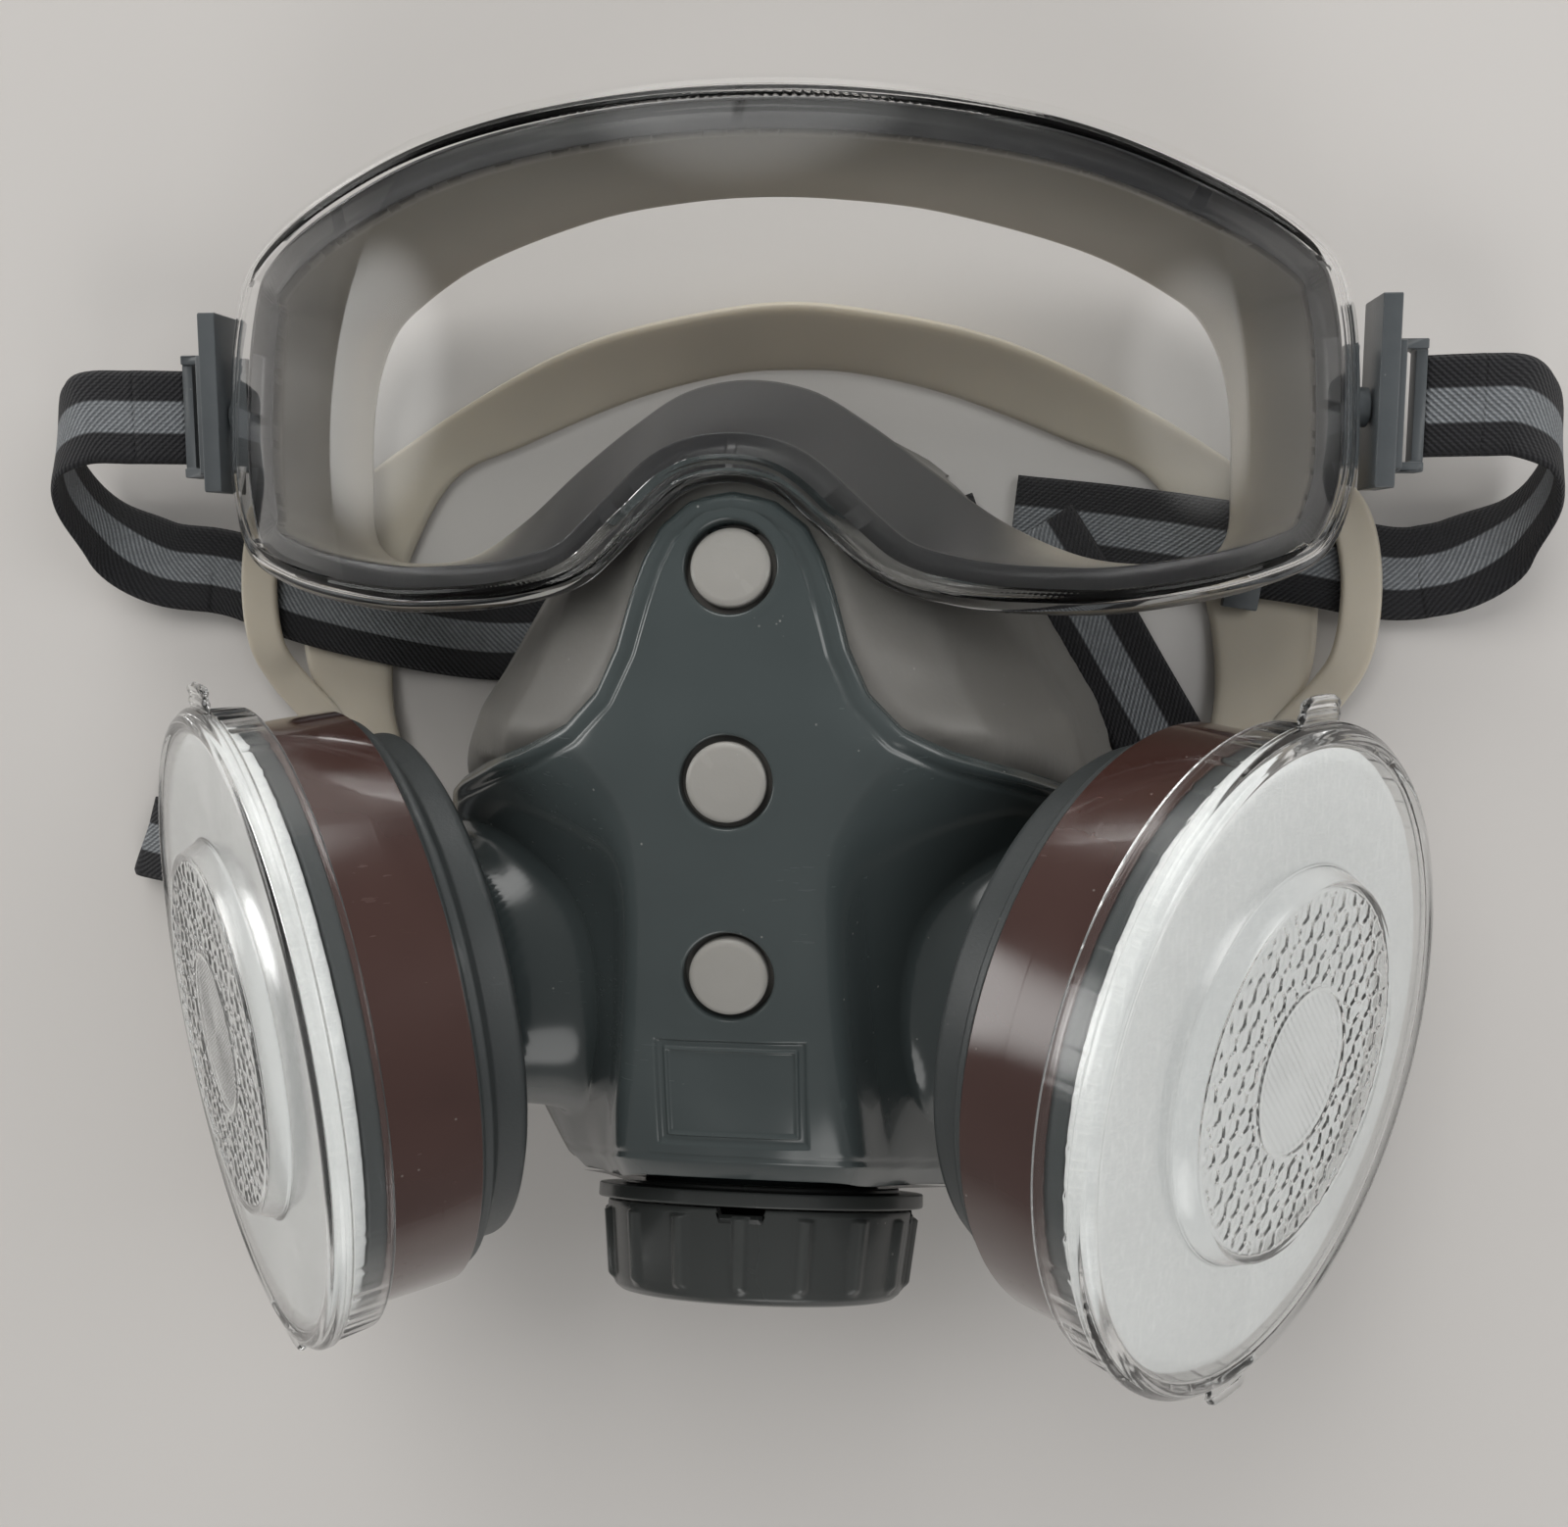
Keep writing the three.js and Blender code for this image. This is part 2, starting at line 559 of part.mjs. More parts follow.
// Frame section at each point of the edge: the channel behind the lens, the skirt and a rear lip.
function goggleFrame() {
  const { lens, rear } = edgeLoops();
  const outLens = outwards(lens);
  const outRear = outwards(rear);
  const at = (p, normal, out, z) => p.clone().addScaledVector(normal, out).setZ(z);
  const rings = lens.map((p, i) => {
    const top = lensHeight(p.x, p.y) - lensWall - gap - 0.4;
    const r = rear[i];
    return [
      at(p, outLens[i], -2.4, top - 1), at(p, outLens[i], -2.4, top - 6), at(r, outRear[i], 2.2, r.z + 1.8),
      at(r, outRear[i], 5.6, r.z + 1.6), at(r, outRear[i], 5.6, r.z), at(r, outRear[i], 0, r.z),
      at(p, outLens[i], -6.6, top - 5), at(p, outLens[i], -6.6, top - 1),
    ];
  });
  return skin(rings, true);
}

const goggles = new THREE.Group();
respirator.add(goggles);
place(goggles, 'goggle_lens', goggleLens(), 'lens', 0.05);
place(goggles, 'goggle_frame', goggleFrame(), 'frame', 0.45);

// --- strap clips, straps and head cradle ----------------------------------------------------

const clipCentre = [96, 54, 22];         // swivel axis of the right clip, along X
const clipHeight = 30;
const clipDepth = 12;

function clipStud(side) {
  const base = toSolid(box(2.4, 19, 7, side * 91.6, clipCentre[1], clipCentre[2]));
  const pin = turned(discProfile(3.2, 0, 2.4), 16).rotateY(side * Math.PI / 2);
  pin.translate(side * 92.7, clipCentre[1], clipCentre[2]);
  return fromSolid(base.add(toSolid(pin)));
}

// Plate with two arms and a bar that the strap end hangs on.
function strapClip(side) {
  const [x, y, z] = clipCentre;
  let clip = toSolid(box(3, clipHeight, clipDepth, side * (x + 1), y + 2, z));
  clip = clip.add(toSolid(box(1.6, 20, 10, side * (x + 3), y, z)));
  for (const end of [-1, 1]) {
    clip = clip.add(toSolid(box(5.4, 1.6, 5, side * (x + 5), y + end * 9.6, z)));
  }
  clip = clip.add(toSolid(box(1.8, 19.4, 3.6, side * (x + 6.8), y, z)));
  return fromSolid(clip);
}

const vectorsOf = (points) => points.map((p) => new THREE.Vector3(...p));

// Flat strap along a curve of centre points, with its width turning between given directions.
function ribbon(points, widthDirections, steps, width = strapWidth, wall = strapWall) {
  const path = new THREE.CatmullRomCurve3(vectorsOf(points), false, 'centripetal');
  const across = new THREE.CatmullRomCurve3(vectorsOf(widthDirections), false, 'centripetal');
  const rings = [];
  for (let i = 0; i <= steps; i += 1) {
    const u = i / steps;
    const centre = path.getPoint(u);
    const along = path.getTangent(u);
    const side = across.getPoint(u);
    side.addScaledVector(along, -side.dot(along)).normalize();
    const face = along.clone().cross(side);
    const corner = (s, f) => centre.clone().addScaledVector(side, s * width / 2)
      .addScaledVector(face, f * wall / 2);
    rings.push([corner(-1, -1), corner(1, -1), corner(1, 1), corner(-1, 1)]);
  }
  return skin(rings, false);
}

const sided = (side, points) => points.map(([x, y, z]) => [side * x, y, z]);

const runHeight = 4.4;

// From the clip's bar, over and down to the resting plane, then back under the goggles. The
// same route serves both sides, with its widest bend at loopReach.
function strapLoop(side, loopReach) {
  const route = [[112.7, 54, 24.4], [loopReach - 9, 53.7, 24.6], [loopReach - 2.4, 50, 20.5],
    [loopReach, 42.5, 14], [loopReach - 3.4, 34.5, 7.6], [loopReach - 12, 28.9, 5],
    [108.8, 27.4, runHeight]];
  const width = [[0, 1, 0], [0.1, 1, -0.1], [0.1, 0.9, -0.4], [0.1, 0.8, -0.55], [0.2, 0.9, -0.4],
    [0.15, 1, -0.1], [0.1, 1, 0]];
  return ribbon(sided(side, route), sided(side, width), 18);
}

// The strap runs on from the left loop, under the mask's nose, to the right loop.
const leftRun = [[-106.6, 26.9, runHeight], [-92, 22, runHeight], [-76, 18.2, runHeight],
  [-62, 15.6, 2.4], [-52, 15, 1.3], [-30, 17, 1.3], [10, 25, 1.3], [35, 34, 1.3]];
const rightRun = [[105.9, 27.6, runHeight], [91, 29.7, runHeight], [74, 32.2, runHeight],
  [66, 33.4, runHeight], [62.5, 33.9, 3.2], [56.5, 34.8, 1.3], [39.5, 36.6, 1.3]];

const slidePlace = [80.5, 31.24, runHeight];
const slideDirection = [34, -5, 0];

function strapSlider() {
  const angle = Math.atan2(slideDirection[1], slideDirection[0]);
  const matrix = new THREE.Matrix4().makeRotationZ(angle).setPosition(...slidePlace);
  const frame = toSolid(box(6, strapWidth + 4.4, 2.6), matrix);
  return fromSolid(frame.subtract(toSolid(box(9, strapWidth + 0.8, 1.9), matrix)));
}

// Right half of the cradle band on the resting plane: outer edge, then inner edge. The band
// leans outwards over the crown.
const cradleEdges = [
  [[78, -30, 2.3], [66.5, -30, 2.3]],
  [[81, -16, 2.3], [70, -16, 2.3]],
  [[86, -2, 2.3], [74.5, -2, 2.3]],
  [[92, 8, 1.2], [75.5, 8, 1.2]],
  [[93.5, 20, 0.4], [74, 20, 0.4]],
  [[92.5, 31, 0.4], [70.5, 31, 0.4]],
  [[82, 43, 0.4], [62.5, 44, 0.4]],
  [[62, 56, 4], [48, 51, 0.4]],
  [[37, 67.5, 9], [27, 59.5, 0.4]],
  [[15, 72.5, 11], [10, 63.5, 0.4]],
  [[0, 74, 11.4], [0, 64, 0.4]],
];

function headCradle() {
  const wall = 1.8;
  const half = cradleEdges.map((edges) => vectorsOf(edges));
  const left = half.slice(0, -1).map((edges) => edges.map((p) => p.clone().setX(-p.x)));
  const spans = [...half, ...left.reverse()];
  const rings = spans.map(([outer, inner], i) => {
    const before = spans[Math.max(i - 1, 0)][1];
    const after = spans[Math.min(i + 1, spans.length - 1)][1];
    const face = after.clone().sub(before).cross(outer.clone().sub(inner)).normalize();
    if (face.z < 0) face.negate();
    const lift = face.multiplyScalar(wall);
    return [outer, inner, inner.clone().add(lift), outer.clone().add(lift)];
  });
  let cradle = toSolid(skin(rings, false));
  // A bridge along each side's outer edge leaves a slot for the goggle strap.
  const bridge = [[87, -2, 3.2], [95, 7, 4.6], [98.2, 14, 6.6], [98.8, 29, 6.8], [95.6, 38.6, 6.8],
    [88.4, 44.4, 4.4], [79, 47.2, 1.8]];
  const across = [[0.8, -0.6, 0], [0.9, -0.4, 0], [1, 0, 0], [1, 0, 0], [0.9, 0.3, 0], [0.7, 0.7, 0],
    [0.6, 0.8, 0]];
  for (const side of [-1, 1]) {
    cradle = cradle.add(toSolid(ribbon(sided(side, bridge), sided(side, across), 12, 7, 1.8)));
  }
  return fromSolid(cradle);
}

function strap(name, geometry) {
  place(respirator, name, geometry, 'strap', 0.85);
}

function harness() {
  place(respirator, 'head_cradle', headCradle(), 'cradle', 0.6);
  for (const [name, side] of [['left', -1], ['right', 1]]) {
    const plate = toSolid(box(12, 14, 3, side * 71.5, -38, 1.9));
    const slot = toSolid(box(3, 9, 6, side * 74.5, -38, 1.9));
    place(respirator, `${name}_harness_hook`, fromSolid(plate.subtract(slot)), 'clip', 0.5);
  }
  // Each run's width direction swings as the strap turns across the resting plane.
  const leftWidth = [-0.25, -0.2, -0.15, -0.1, 0, -0.1, -0.2, -0.25].map((x) => [-x, 1, 0]);
  const rightWidth = rightRun.map(() => [0.147, 1, 0]);
  strap('goggle_strap_left', ribbon(leftRun, leftWidth, 22));
  strap('goggle_strap_right', ribbon(rightRun, rightWidth, 12));
  place(respirator, 'strap_slider', strapSlider(), 'clip', 0.4);
  const neckRight = [[43, 35, 3.2], [48.5, 26.5, 3.9], [53, 19.8, 3.2], [59, 9.9, 1.2], [64.1, 1.4, 1.2],
    [71, -10, 1.2], [78, -20, 1.2], [82.5, -26.4, 1.2]];
  strap('neck_strap_right', ribbon(neckRight, neckRight.map(() => [0.855, 0.518, 0]), 14));
  const neckLeft = [[-76, -27.4, 5.2], [-100, -26.3, 5.2], [-119.4, -24.4, 5.2], [-125.2, -23.7, 3.2],
    [-119.4, -24.4, 1.2], [-100, -26.3, 1.2], [-84, -27.2, 1.2]];
  strap('neck_strap_left', ribbon(neckLeft, neckLeft.map(() => [0.42, 1, 0]), 18));
}
harness();

for (const [name, side, reach] of [['left', -1, 131], ['right', 1, 127]]) {
  place(goggles, `${name}_clip_stud`, clipStud(side), 'clip', 0.5);
  place(goggles, `${name}_strap_clip`, strapClip(side), 'clip', 0.5);
  const end = ribbon(sided(side, [[104.1, 54, 22.2], [108, 54, 23.4], [111.3, 54, 24.2]]),
    [[0, 1, 0], [0, 1, 0], [0, 1, 0]], 4);
  place(goggles, `${name}_strap_end`, end, 'strap', 0.85);
  place(goggles, `${name}_strap_loop`, strapLoop(side, reach), 'strap', 0.85);
}

export default respirator;
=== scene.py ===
import math

import bmesh
import bpy
import numpy as np
from mathutils import Matrix, Vector


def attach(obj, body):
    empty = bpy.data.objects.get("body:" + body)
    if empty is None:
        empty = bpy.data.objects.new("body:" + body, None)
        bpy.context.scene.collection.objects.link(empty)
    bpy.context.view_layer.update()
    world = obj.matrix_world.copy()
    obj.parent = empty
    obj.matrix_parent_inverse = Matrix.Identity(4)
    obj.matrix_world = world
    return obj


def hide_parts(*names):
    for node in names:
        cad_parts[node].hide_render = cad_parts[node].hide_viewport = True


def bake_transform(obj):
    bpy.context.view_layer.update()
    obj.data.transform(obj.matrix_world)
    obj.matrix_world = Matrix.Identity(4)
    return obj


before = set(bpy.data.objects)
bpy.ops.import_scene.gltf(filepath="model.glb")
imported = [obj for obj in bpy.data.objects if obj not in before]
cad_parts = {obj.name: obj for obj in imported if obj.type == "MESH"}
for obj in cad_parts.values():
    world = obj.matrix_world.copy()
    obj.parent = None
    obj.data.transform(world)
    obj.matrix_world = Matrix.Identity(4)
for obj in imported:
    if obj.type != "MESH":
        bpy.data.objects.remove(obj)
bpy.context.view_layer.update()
mm = 0.001    # shapes are worked out in millimetres
print("frame loaded:", len(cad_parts), "nodes")

# camera, floor and light

cameraLook = {
    "place": (0.03238, 0.03044, 0.29283),      # metres
    "turnDegrees": (-7.43, 6.61, 0.48),        # rotation vector
    "lens": 36.7,                              # mm on a 36 mm sensor
}
studioLook = {
    "floorColour": (0.60, 0.580, 0.562),
    "floorShade": (0.55, 0.532, 0.515),
    "roomColour": (0.82, 0.815, 0.80),
    "roomStrength": 0.27,
    "backdrop": 0.66,
    # soft boxes seen in the gloss: direction, half-angle cosines where they end and begin, strength
    "boxes": [((-0.1, 0.94, 0.26), 0.91, 0.97, 4.2), ((-0.96, 0.2, 0.16), 0.94, 0.98, 4.6),
              ((0.96, 0.2, 0.18), 0.95, 0.985, 3.6), ((0.2, -0.88, 0.46), 0.94, 0.975, 2.2)],
    "lamps": [  # place, aim, width, depth, power, colour
        ((-0.3, 0.7, 1.0), (0, 0.02, 0.03), 0.9, 0.7, 6.6, (1.0, 0.985, 0.96)),
        ((0.65, 0.3, 0.8), (0, 0, 0.04), 0.5, 0.5, 2.4, (0.97, 0.98, 1.0)),
        ((0.1, -0.8, 0.8), (0, 0, 0.03), 0.8, 0.4, 1.9, (1.0, 0.98, 0.96)),
    ],
}


def makeCamera():
    # the camera's turn is one rotation vector: its length is the angle and its direction the axis
    data = bpy.data.cameras.new("camera")
    data.lens = cameraLook["lens"]
    data.sensor_width = 36
    data.clip_start = 0.01
    camera = bpy.data.objects.new("camera", data)
    turn = Vector(cameraLook["turnDegrees"])
    camera.matrix_world = (Matrix.Translation(cameraLook["place"])
                           @ Matrix.Rotation(math.radians(turn.length), 4, turn.normalized()))
    bpy.context.scene.collection.objects.link(camera)
    bpy.context.scene.camera = camera


def makeLamps():
    # each lamp is a rectangle that faces its aim; gloss and clear parts mirror the room instead
    for number, (place, aim, width, depth, power, colour) in enumerate(studioLook["lamps"]):
        data = bpy.data.lights.new(f"lamp{number}", "AREA")
        data.shape = "RECTANGLE"
        data.size, data.size_y = width, depth
        data.energy = power
        data.color = colour
        lamp = bpy.data.objects.new(f"lamp{number}", data)
        direction = Vector(aim) - Vector(place)
        lamp.matrix_world = (Matrix.Translation(place)
                             @ direction.to_track_quat("-Z", "Y").to_matrix().to_4x4())
        lamp.visible_glossy = lamp.visible_transmission = False
        bpy.context.scene.collection.objects.link(lamp)
    bpy.context.scene.view_settings.view_transform = "Standard"


def makeRoom():
    # even room light with a few soft-edged boxes, each the cosine between it and the direction seen
    world = bpy.data.worlds.new("room")
    world.use_nodes = True
    tree = world.node_tree
    direction = addNode(tree, "ShaderNodeTexCoord").outputs["Generated"]
    strength = studioLook["roomStrength"]
    for aim, end, start, power in studioLook["boxes"]:
        cosine = addNode(tree, "ShaderNodeVectorMath", {0: direction, 1: Vector(aim).normalized()},
                         operation="DOT_PRODUCT").outputs["Value"]
        strength = addMath(tree, "ADD", strength, ramp(tree, cosine, end, start, 0.0, power))
    background = tree.nodes["Background"]
    background.inputs["Color"].default_value = (*studioLook["roomColour"], 1)
    # the camera sees a plain pale backdrop in place of the boxes
    seen = addNode(tree, "ShaderNodeLightPath").outputs["Is Camera Ray"]
    shown = addNode(tree, "ShaderNodeMix", {0: seen, 3: studioLook["backdrop"]}, data_type="FLOAT")
    tree.links.new(strength, shown.inputs[2])
    tree.links.new(shown.outputs[0], background.inputs["Strength"])
    bpy.context.scene.world = world


# node groups shared by the materials

def shaderGroup(name, inputs, outputs):
    # empty group with named inputs and outputs, and its two end nodes
    tree = bpy.data.node_groups.new(name, "ShaderNodeTree")
    for socket, kind, value in inputs:
        tree.interface.new_socket(name=socket, in_out="INPUT", socket_type=kind).default_value = value
    for socket, kind in outputs:
        tree.interface.new_socket(name=socket, in_out="OUTPUT", socket_type=kind)
    return tree, tree.nodes.new("NodeGroupInput"), tree.nodes.new("NodeGroupOutput")


def addNode(tree, kind, values=None, **settings):
    # node with its settings made, and each value linked where it is a socket
    node = tree.nodes.new(kind)
    for key, value in settings.items():
        setattr(node, key, value)
    for key, value in (values or {}).items():
        if isinstance(value, bpy.types.NodeSocket):
            tree.links.new(value, node.inputs[key])
        else:
            node.inputs[key].default_value = value
    return node


def addMath(tree, operation, a, b=0.0, clamp=False):
    return addNode(tree, "ShaderNodeMath", {0: a, 1: b}, operation=operation, use_clamp=clamp).outputs[0]


def mixColour(tree, share, a, b):
    # colour a turned to colour b by its share
    node = addNode(tree, "ShaderNodeMix", data_type="RGBA")
    for key, value in ((0, share), (6, a), (7, b)):
        if isinstance(value, bpy.types.NodeSocket):
            tree.links.new(value, node.inputs[key])
        else:
            node.inputs[key].default_value = value if key == 0 else (*value[:3], 1)
    return node.outputs[2]


def ramp(tree, value, low, high, toLow=0.0, toHigh=1.0):
    # smooth step of a value between two marks
    node = addNode(tree, "ShaderNodeMapRange", {0: value, 1: low, 2: high, 3: toLow, 4: toHigh})
    node.interpolation_type = "SMOOTHSTEP"
    return node.outputs[0]


def grainGroup():
    # moulded grain: fine noise over coarser noise, as a height and as a mask
    tree, source, result = shaderGroup("mouldGrain", [("Scale", "NodeSocketFloat", 1500.0)],
                                       [("Height", "NodeSocketFloat"), ("Mask", "NodeSocketFloat")])
    place = addNode(tree, "ShaderNodeTexCoord").outputs["Object"]
    fine = addNode(tree, "ShaderNodeTexNoise", {"Vector": place, "Scale": source.outputs["Scale"],
                                                "Detail": 3.0, "Roughness": 0.6})
    coarseScale = addMath(tree, "MULTIPLY", source.outputs["Scale"], 0.22)
    coarse = addNode(tree, "ShaderNodeTexNoise", {"Vector": place, "Scale": coarseScale, "Detail": 2.0})
    height = addMath(tree, "ADD", addMath(tree, "MULTIPLY", fine.outputs[0], 0.65),
                     addMath(tree, "MULTIPLY", coarse.outputs[0], 0.35))
    tree.links.new(height, result.inputs["Height"])
    tree.links.new(ramp(tree, height, 0.35, 0.65), result.inputs["Mask"])
    return tree


def handlingGroup():
    # handling marks: broad patches of changed gloss, with thin scuffs where two noises meet
    tree, source, result = shaderGroup(
        "handlingMarks", [("Scale", "NodeSocketFloat", 40.0)],
        [("Patches", "NodeSocketFloat"), ("Scuffs", "NodeSocketFloat"), ("Dust", "NodeSocketFloat")])
    place = addNode(tree, "ShaderNodeTexCoord").outputs["Object"]
    patches = addNode(tree, "ShaderNodeTexNoise", {"Vector": place, "Scale": source.outputs["Scale"],
                                                   "Detail": 5.0, "Distortion": 0.6})
    stretched = addNode(tree, "ShaderNodeMapping", {"Vector": place, "Rotation": (0.3, 0.5, 0.7),
                                                    "Scale": (1.0, 9.0, 3.0)}).outputs[0]
    lines = addNode(tree, "ShaderNodeTexNoise", {"Vector": stretched, "Scale": 160.0, "Detail": 2.0})
    where = ramp(tree, patches.outputs[0], 0.5, 0.7)
    scuffs = addMath(tree, "MULTIPLY", ramp(tree, lines.outputs[0], 0.66, 0.72), where)
    specks = addNode(tree, "ShaderNodeTexVoronoi", {"Vector": place, "Scale": 420.0})
    picked = addNode(tree, "ShaderNodeTexNoise", {"Vector": place, "Scale": 170.0})
    dust = addMath(tree, "MULTIPLY", ramp(tree, specks.outputs["Distance"], 0.10, 0.04),
                   ramp(tree, picked.outputs[0], 0.56, 0.62))
    tree.links.new(ramp(tree, patches.outputs[0], 0.3, 0.7), result.inputs["Patches"])
    tree.links.new(scuffs, result.inputs["Scuffs"])
    tree.links.new(dust, result.inputs["Dust"])
    return tree


def edgeGroup():
    # worn edges: sharp outward corners of the mesh, broken up by noise
    tree, source, result = shaderGroup("wornEdges", [("Width", "NodeSocketFloat", 0.56)],
                                       [("Mask", "NodeSocketFloat")])
    point = addNode(tree, "ShaderNodeNewGeometry").outputs["Pointiness"]
    place = addNode(tree, "ShaderNodeTexCoord").outputs["Object"]
    broken = addNode(tree, "ShaderNodeTexNoise", {"Vector": place, "Scale": 300.0, "Detail": 3.0})
    raised = addNode(tree, "ShaderNodeMapRange", {0: point, 1: 0.51, 2: source.outputs["Width"]})
    tree.links.new(addMath(tree, "MULTIPLY", raised.outputs[0], broken.outputs[0], True),
                   result.inputs["Mask"])
    return tree


def twillGroup():
    # twill webbing on a strip map in millimetres: U along, V across from -0.5 to 0.5 of the width
    tree, source, result = shaderGroup(
        "twillWebbing", [("Stripe", "NodeSocketFloat", 0.17)],
        [("Height", "NodeSocketFloat"), ("Stripe", "NodeSocketFloat"), ("Thread", "NodeSocketFloat"),
         ("Edge", "NodeSocketFloat")])
    split = addNode(tree, "ShaderNodeSeparateXYZ", {0: addNode(tree, "ShaderNodeUVMap").outputs[0]})
    along, across = split.outputs[0], split.outputs[1]
    fromMiddle = addMath(tree, "ABSOLUTE", across)
    # slanted ribs, and finer threads across them
    twill = addMath(tree, "ADD", addMath(tree, "MULTIPLY", along, 5.6),
                    addMath(tree, "MULTIPLY", across, 95.0))
    rib = addMath(tree, "SINE", twill)
    cross = addMath(tree, "SINE", addMath(tree, "MULTIPLY", across, 190.0))
    thread = addMath(tree, "MULTIPLY", addMath(tree, "ADD", rib, 1.0), 0.5)
    height = addMath(tree, "ADD", thread, addMath(tree, "MULTIPLY", cross, 0.2))
    stripe = ramp(tree, fromMiddle, addMath(tree, "ADD", source.outputs["Stripe"], 0.012),
                  addMath(tree, "SUBTRACT", source.outputs["Stripe"], 0.012))
    tree.links.new(height, result.inputs["Height"])
    tree.links.new(stripe, result.inputs["Stripe"])
    tree.links.new(thread, result.inputs["Thread"])
    tree.links.new(ramp(tree, fromMiddle, 0.455, 0.475), result.inputs["Edge"])
    return tree


groups = {"grain": grainGroup(), "handling": handlingGroup(), "edges": edgeGroup(), "twill": twillGroup()}


def groupNode(tree, name, values):
    # shared group placed in a material with its own values
    node = tree.nodes.new("ShaderNodeGroup")
    node.node_tree = groups[name]
    for key, value in values.items():
        node.inputs[key].default_value = value
    return node


# materials

dustColour = (0.55, 0.53, 0.5)
plainLook = {"patchScale": 30.0, "edgeWidth": 0.58, "wear": 0.3, "scuffs": 0.15, "dust": 0.2, "bump": 0.2,
             "ior": 1.5, "coat": 0.0, "soft": 0.0}      # where a moulded look says nothing else


def newMaterial(name):
    material = bpy.data.materials.new(name)
    material.use_nodes = True
    return material, material.node_tree, material.node_tree.nodes["Principled BSDF"]


def mouldedMaterial(name, look):
    # moulded plastic or rubber: base colour with tonal patches, worn edges, scuffs, dust and grain
    look = {**plainLook, "worn": look["colour"], **look}
    material, tree, shader = newMaterial(name)
    grain = groupNode(tree, "grain", {"Scale": look["grainScale"]})
    marks = groupNode(tree, "handling", {"Scale": look["patchScale"]})
    edges = groupNode(tree, "edges", {"Width": look["edgeWidth"]})
    colour = mixColour(tree, marks.outputs["Patches"], look["colour"], look["shade"])
    for mask, share, shown in ((edges.outputs["Mask"], look["wear"], look["worn"]),
                               (marks.outputs["Scuffs"], look["scuffs"], look["worn"]),
                               (marks.outputs["Dust"], look["dust"], dustColour)):
        colour = mixColour(tree, addMath(tree, "MULTIPLY", mask, share), colour, shown)
    tree.links.new(colour, shader.inputs["Base Color"])
    tree.links.new(markedRoughness(tree, marks, look, 0.15), shader.inputs["Roughness"])
    bump = addNode(tree, "ShaderNodeBump", {"Height": grain.outputs["Height"], "Strength": look["bump"],
                                            "Distance": 0.0002})
    tree.links.new(bump.outputs[0], shader.inputs["Normal"])
    shader.inputs["IOR"].default_value = look["ior"]
    shader.inputs["Coat Weight"].default_value = look["coat"]
    shader.inputs["Coat Roughness"].default_value = 0.05
    setSoftness(shader, look["soft"], (0.003, 0.0026, 0.002))
    return material


def markedRoughness(tree, marks, look, scuffed):
    # smooth and rough patches, each roughened further where it is scuffed
    rough = ramp(tree, marks.outputs["Patches"], 0.0, 1.0, look["smooth"], look["rough"])
    return addMath(tree, "ADD", rough, addMath(tree, "MULTIPLY", marks.outputs["Scuffs"], scuffed), True)


def setSoftness(shader, weight, radius):
    # light carried a few millimetres under the surface
    shader.inputs["Subsurface Weight"].default_value = weight
    shader.inputs["Subsurface Radius"].default_value = radius
    shader.inputs["Subsurface Scale"].default_value = 1.0


def clearMaterial(name, look):
    # clear plastic that lets lamps through: refracting to sight, plain clear to shadow rays
    material, tree, shader = newMaterial(name)
    marks = groupNode(tree, "handling", {"Scale": 25.0})
    colour = mixColour(tree, marks.outputs["Scuffs"], look["colour"], look["shade"])
    tree.links.new(colour, shader.inputs["Base Color"])
    tree.links.new(markedRoughness(tree, marks, look, look["scuffs"]), shader.inputs["Roughness"])
    shader.inputs["Transmission Weight"].default_value = 1.0
    shader.inputs["IOR"].default_value = look["ior"]
    through = addNode(tree, "ShaderNodeBsdfTransparent")
    through.inputs[0].default_value = (*look["shadow"], 1)
    path = addNode(tree, "ShaderNodeLightPath")
    mix = addNode(tree, "ShaderNodeMixShader")
    tree.links.new(path.outputs["Is Shadow Ray"], mix.inputs[0])
    tree.links.new(shader.outputs[0], mix.inputs[1])
    tree.links.new(through.outputs[0], mix.inputs[2])
    tree.links.new(mix.outputs[0], tree.nodes["Material Output"].inputs["Surface"])
    return material


shellLook = {"colour": (0.042, 0.052, 0.053), "shade": (0.048, 0.059, 0.060), "worn": (0.10, 0.12, 0.118),
             "smooth": 0.17, "rough": 0.26, "grainScale": 900.0, "bump": 0.05, "wear": 0.25, "scuffs": 0.2,
             "dust": 0.3, "coat": 0.3, "ior": 1.5}
sealLook = {"colour": (0.152, 0.146, 0.135), "shade": (0.135, 0.130, 0.121), "worn": (0.25, 0.24, 0.22),
            "smooth": 0.42, "rough": 0.55, "grainScale": 1300.0, "bump": 0.22, "wear": 0.2, "soft": 0.12}
studLook = {"colour": (0.27, 0.262, 0.245), "shade": (0.245, 0.238, 0.222), "worn": (0.36, 0.35, 0.33),
            "smooth": 0.34, "rough": 0.46, "grainScale": 1800.0, "bump": 0.18, "wear": 0.3, "soft": 0.1}
valveLook = {"colour": (0.032, 0.035, 0.034), "shade": (0.039, 0.042, 0.041), "worn": (0.13, 0.135, 0.13),
             "smooth": 0.24, "rough": 0.36, "grainScale": 1400.0, "bump": 0.12, "wear": 0.45, "coat": 0.1}
caseLook = {"colour": (0.040, 0.045, 0.046), "shade": (0.048, 0.053, 0.054), "worn": (0.15, 0.155, 0.155),
            "smooth": 0.36, "rough": 0.48, "grainScale": 1700.0, "bump": 0.3, "wear": 0.35}
ringLook = {"colour": (0.20, 0.195, 0.18), "shade": (0.175, 0.17, 0.158), "worn": (0.3, 0.29, 0.27),
            "smooth": 0.40, "rough": 0.52, "grainScale": 1500.0, "bump": 0.2, "soft": 0.1}
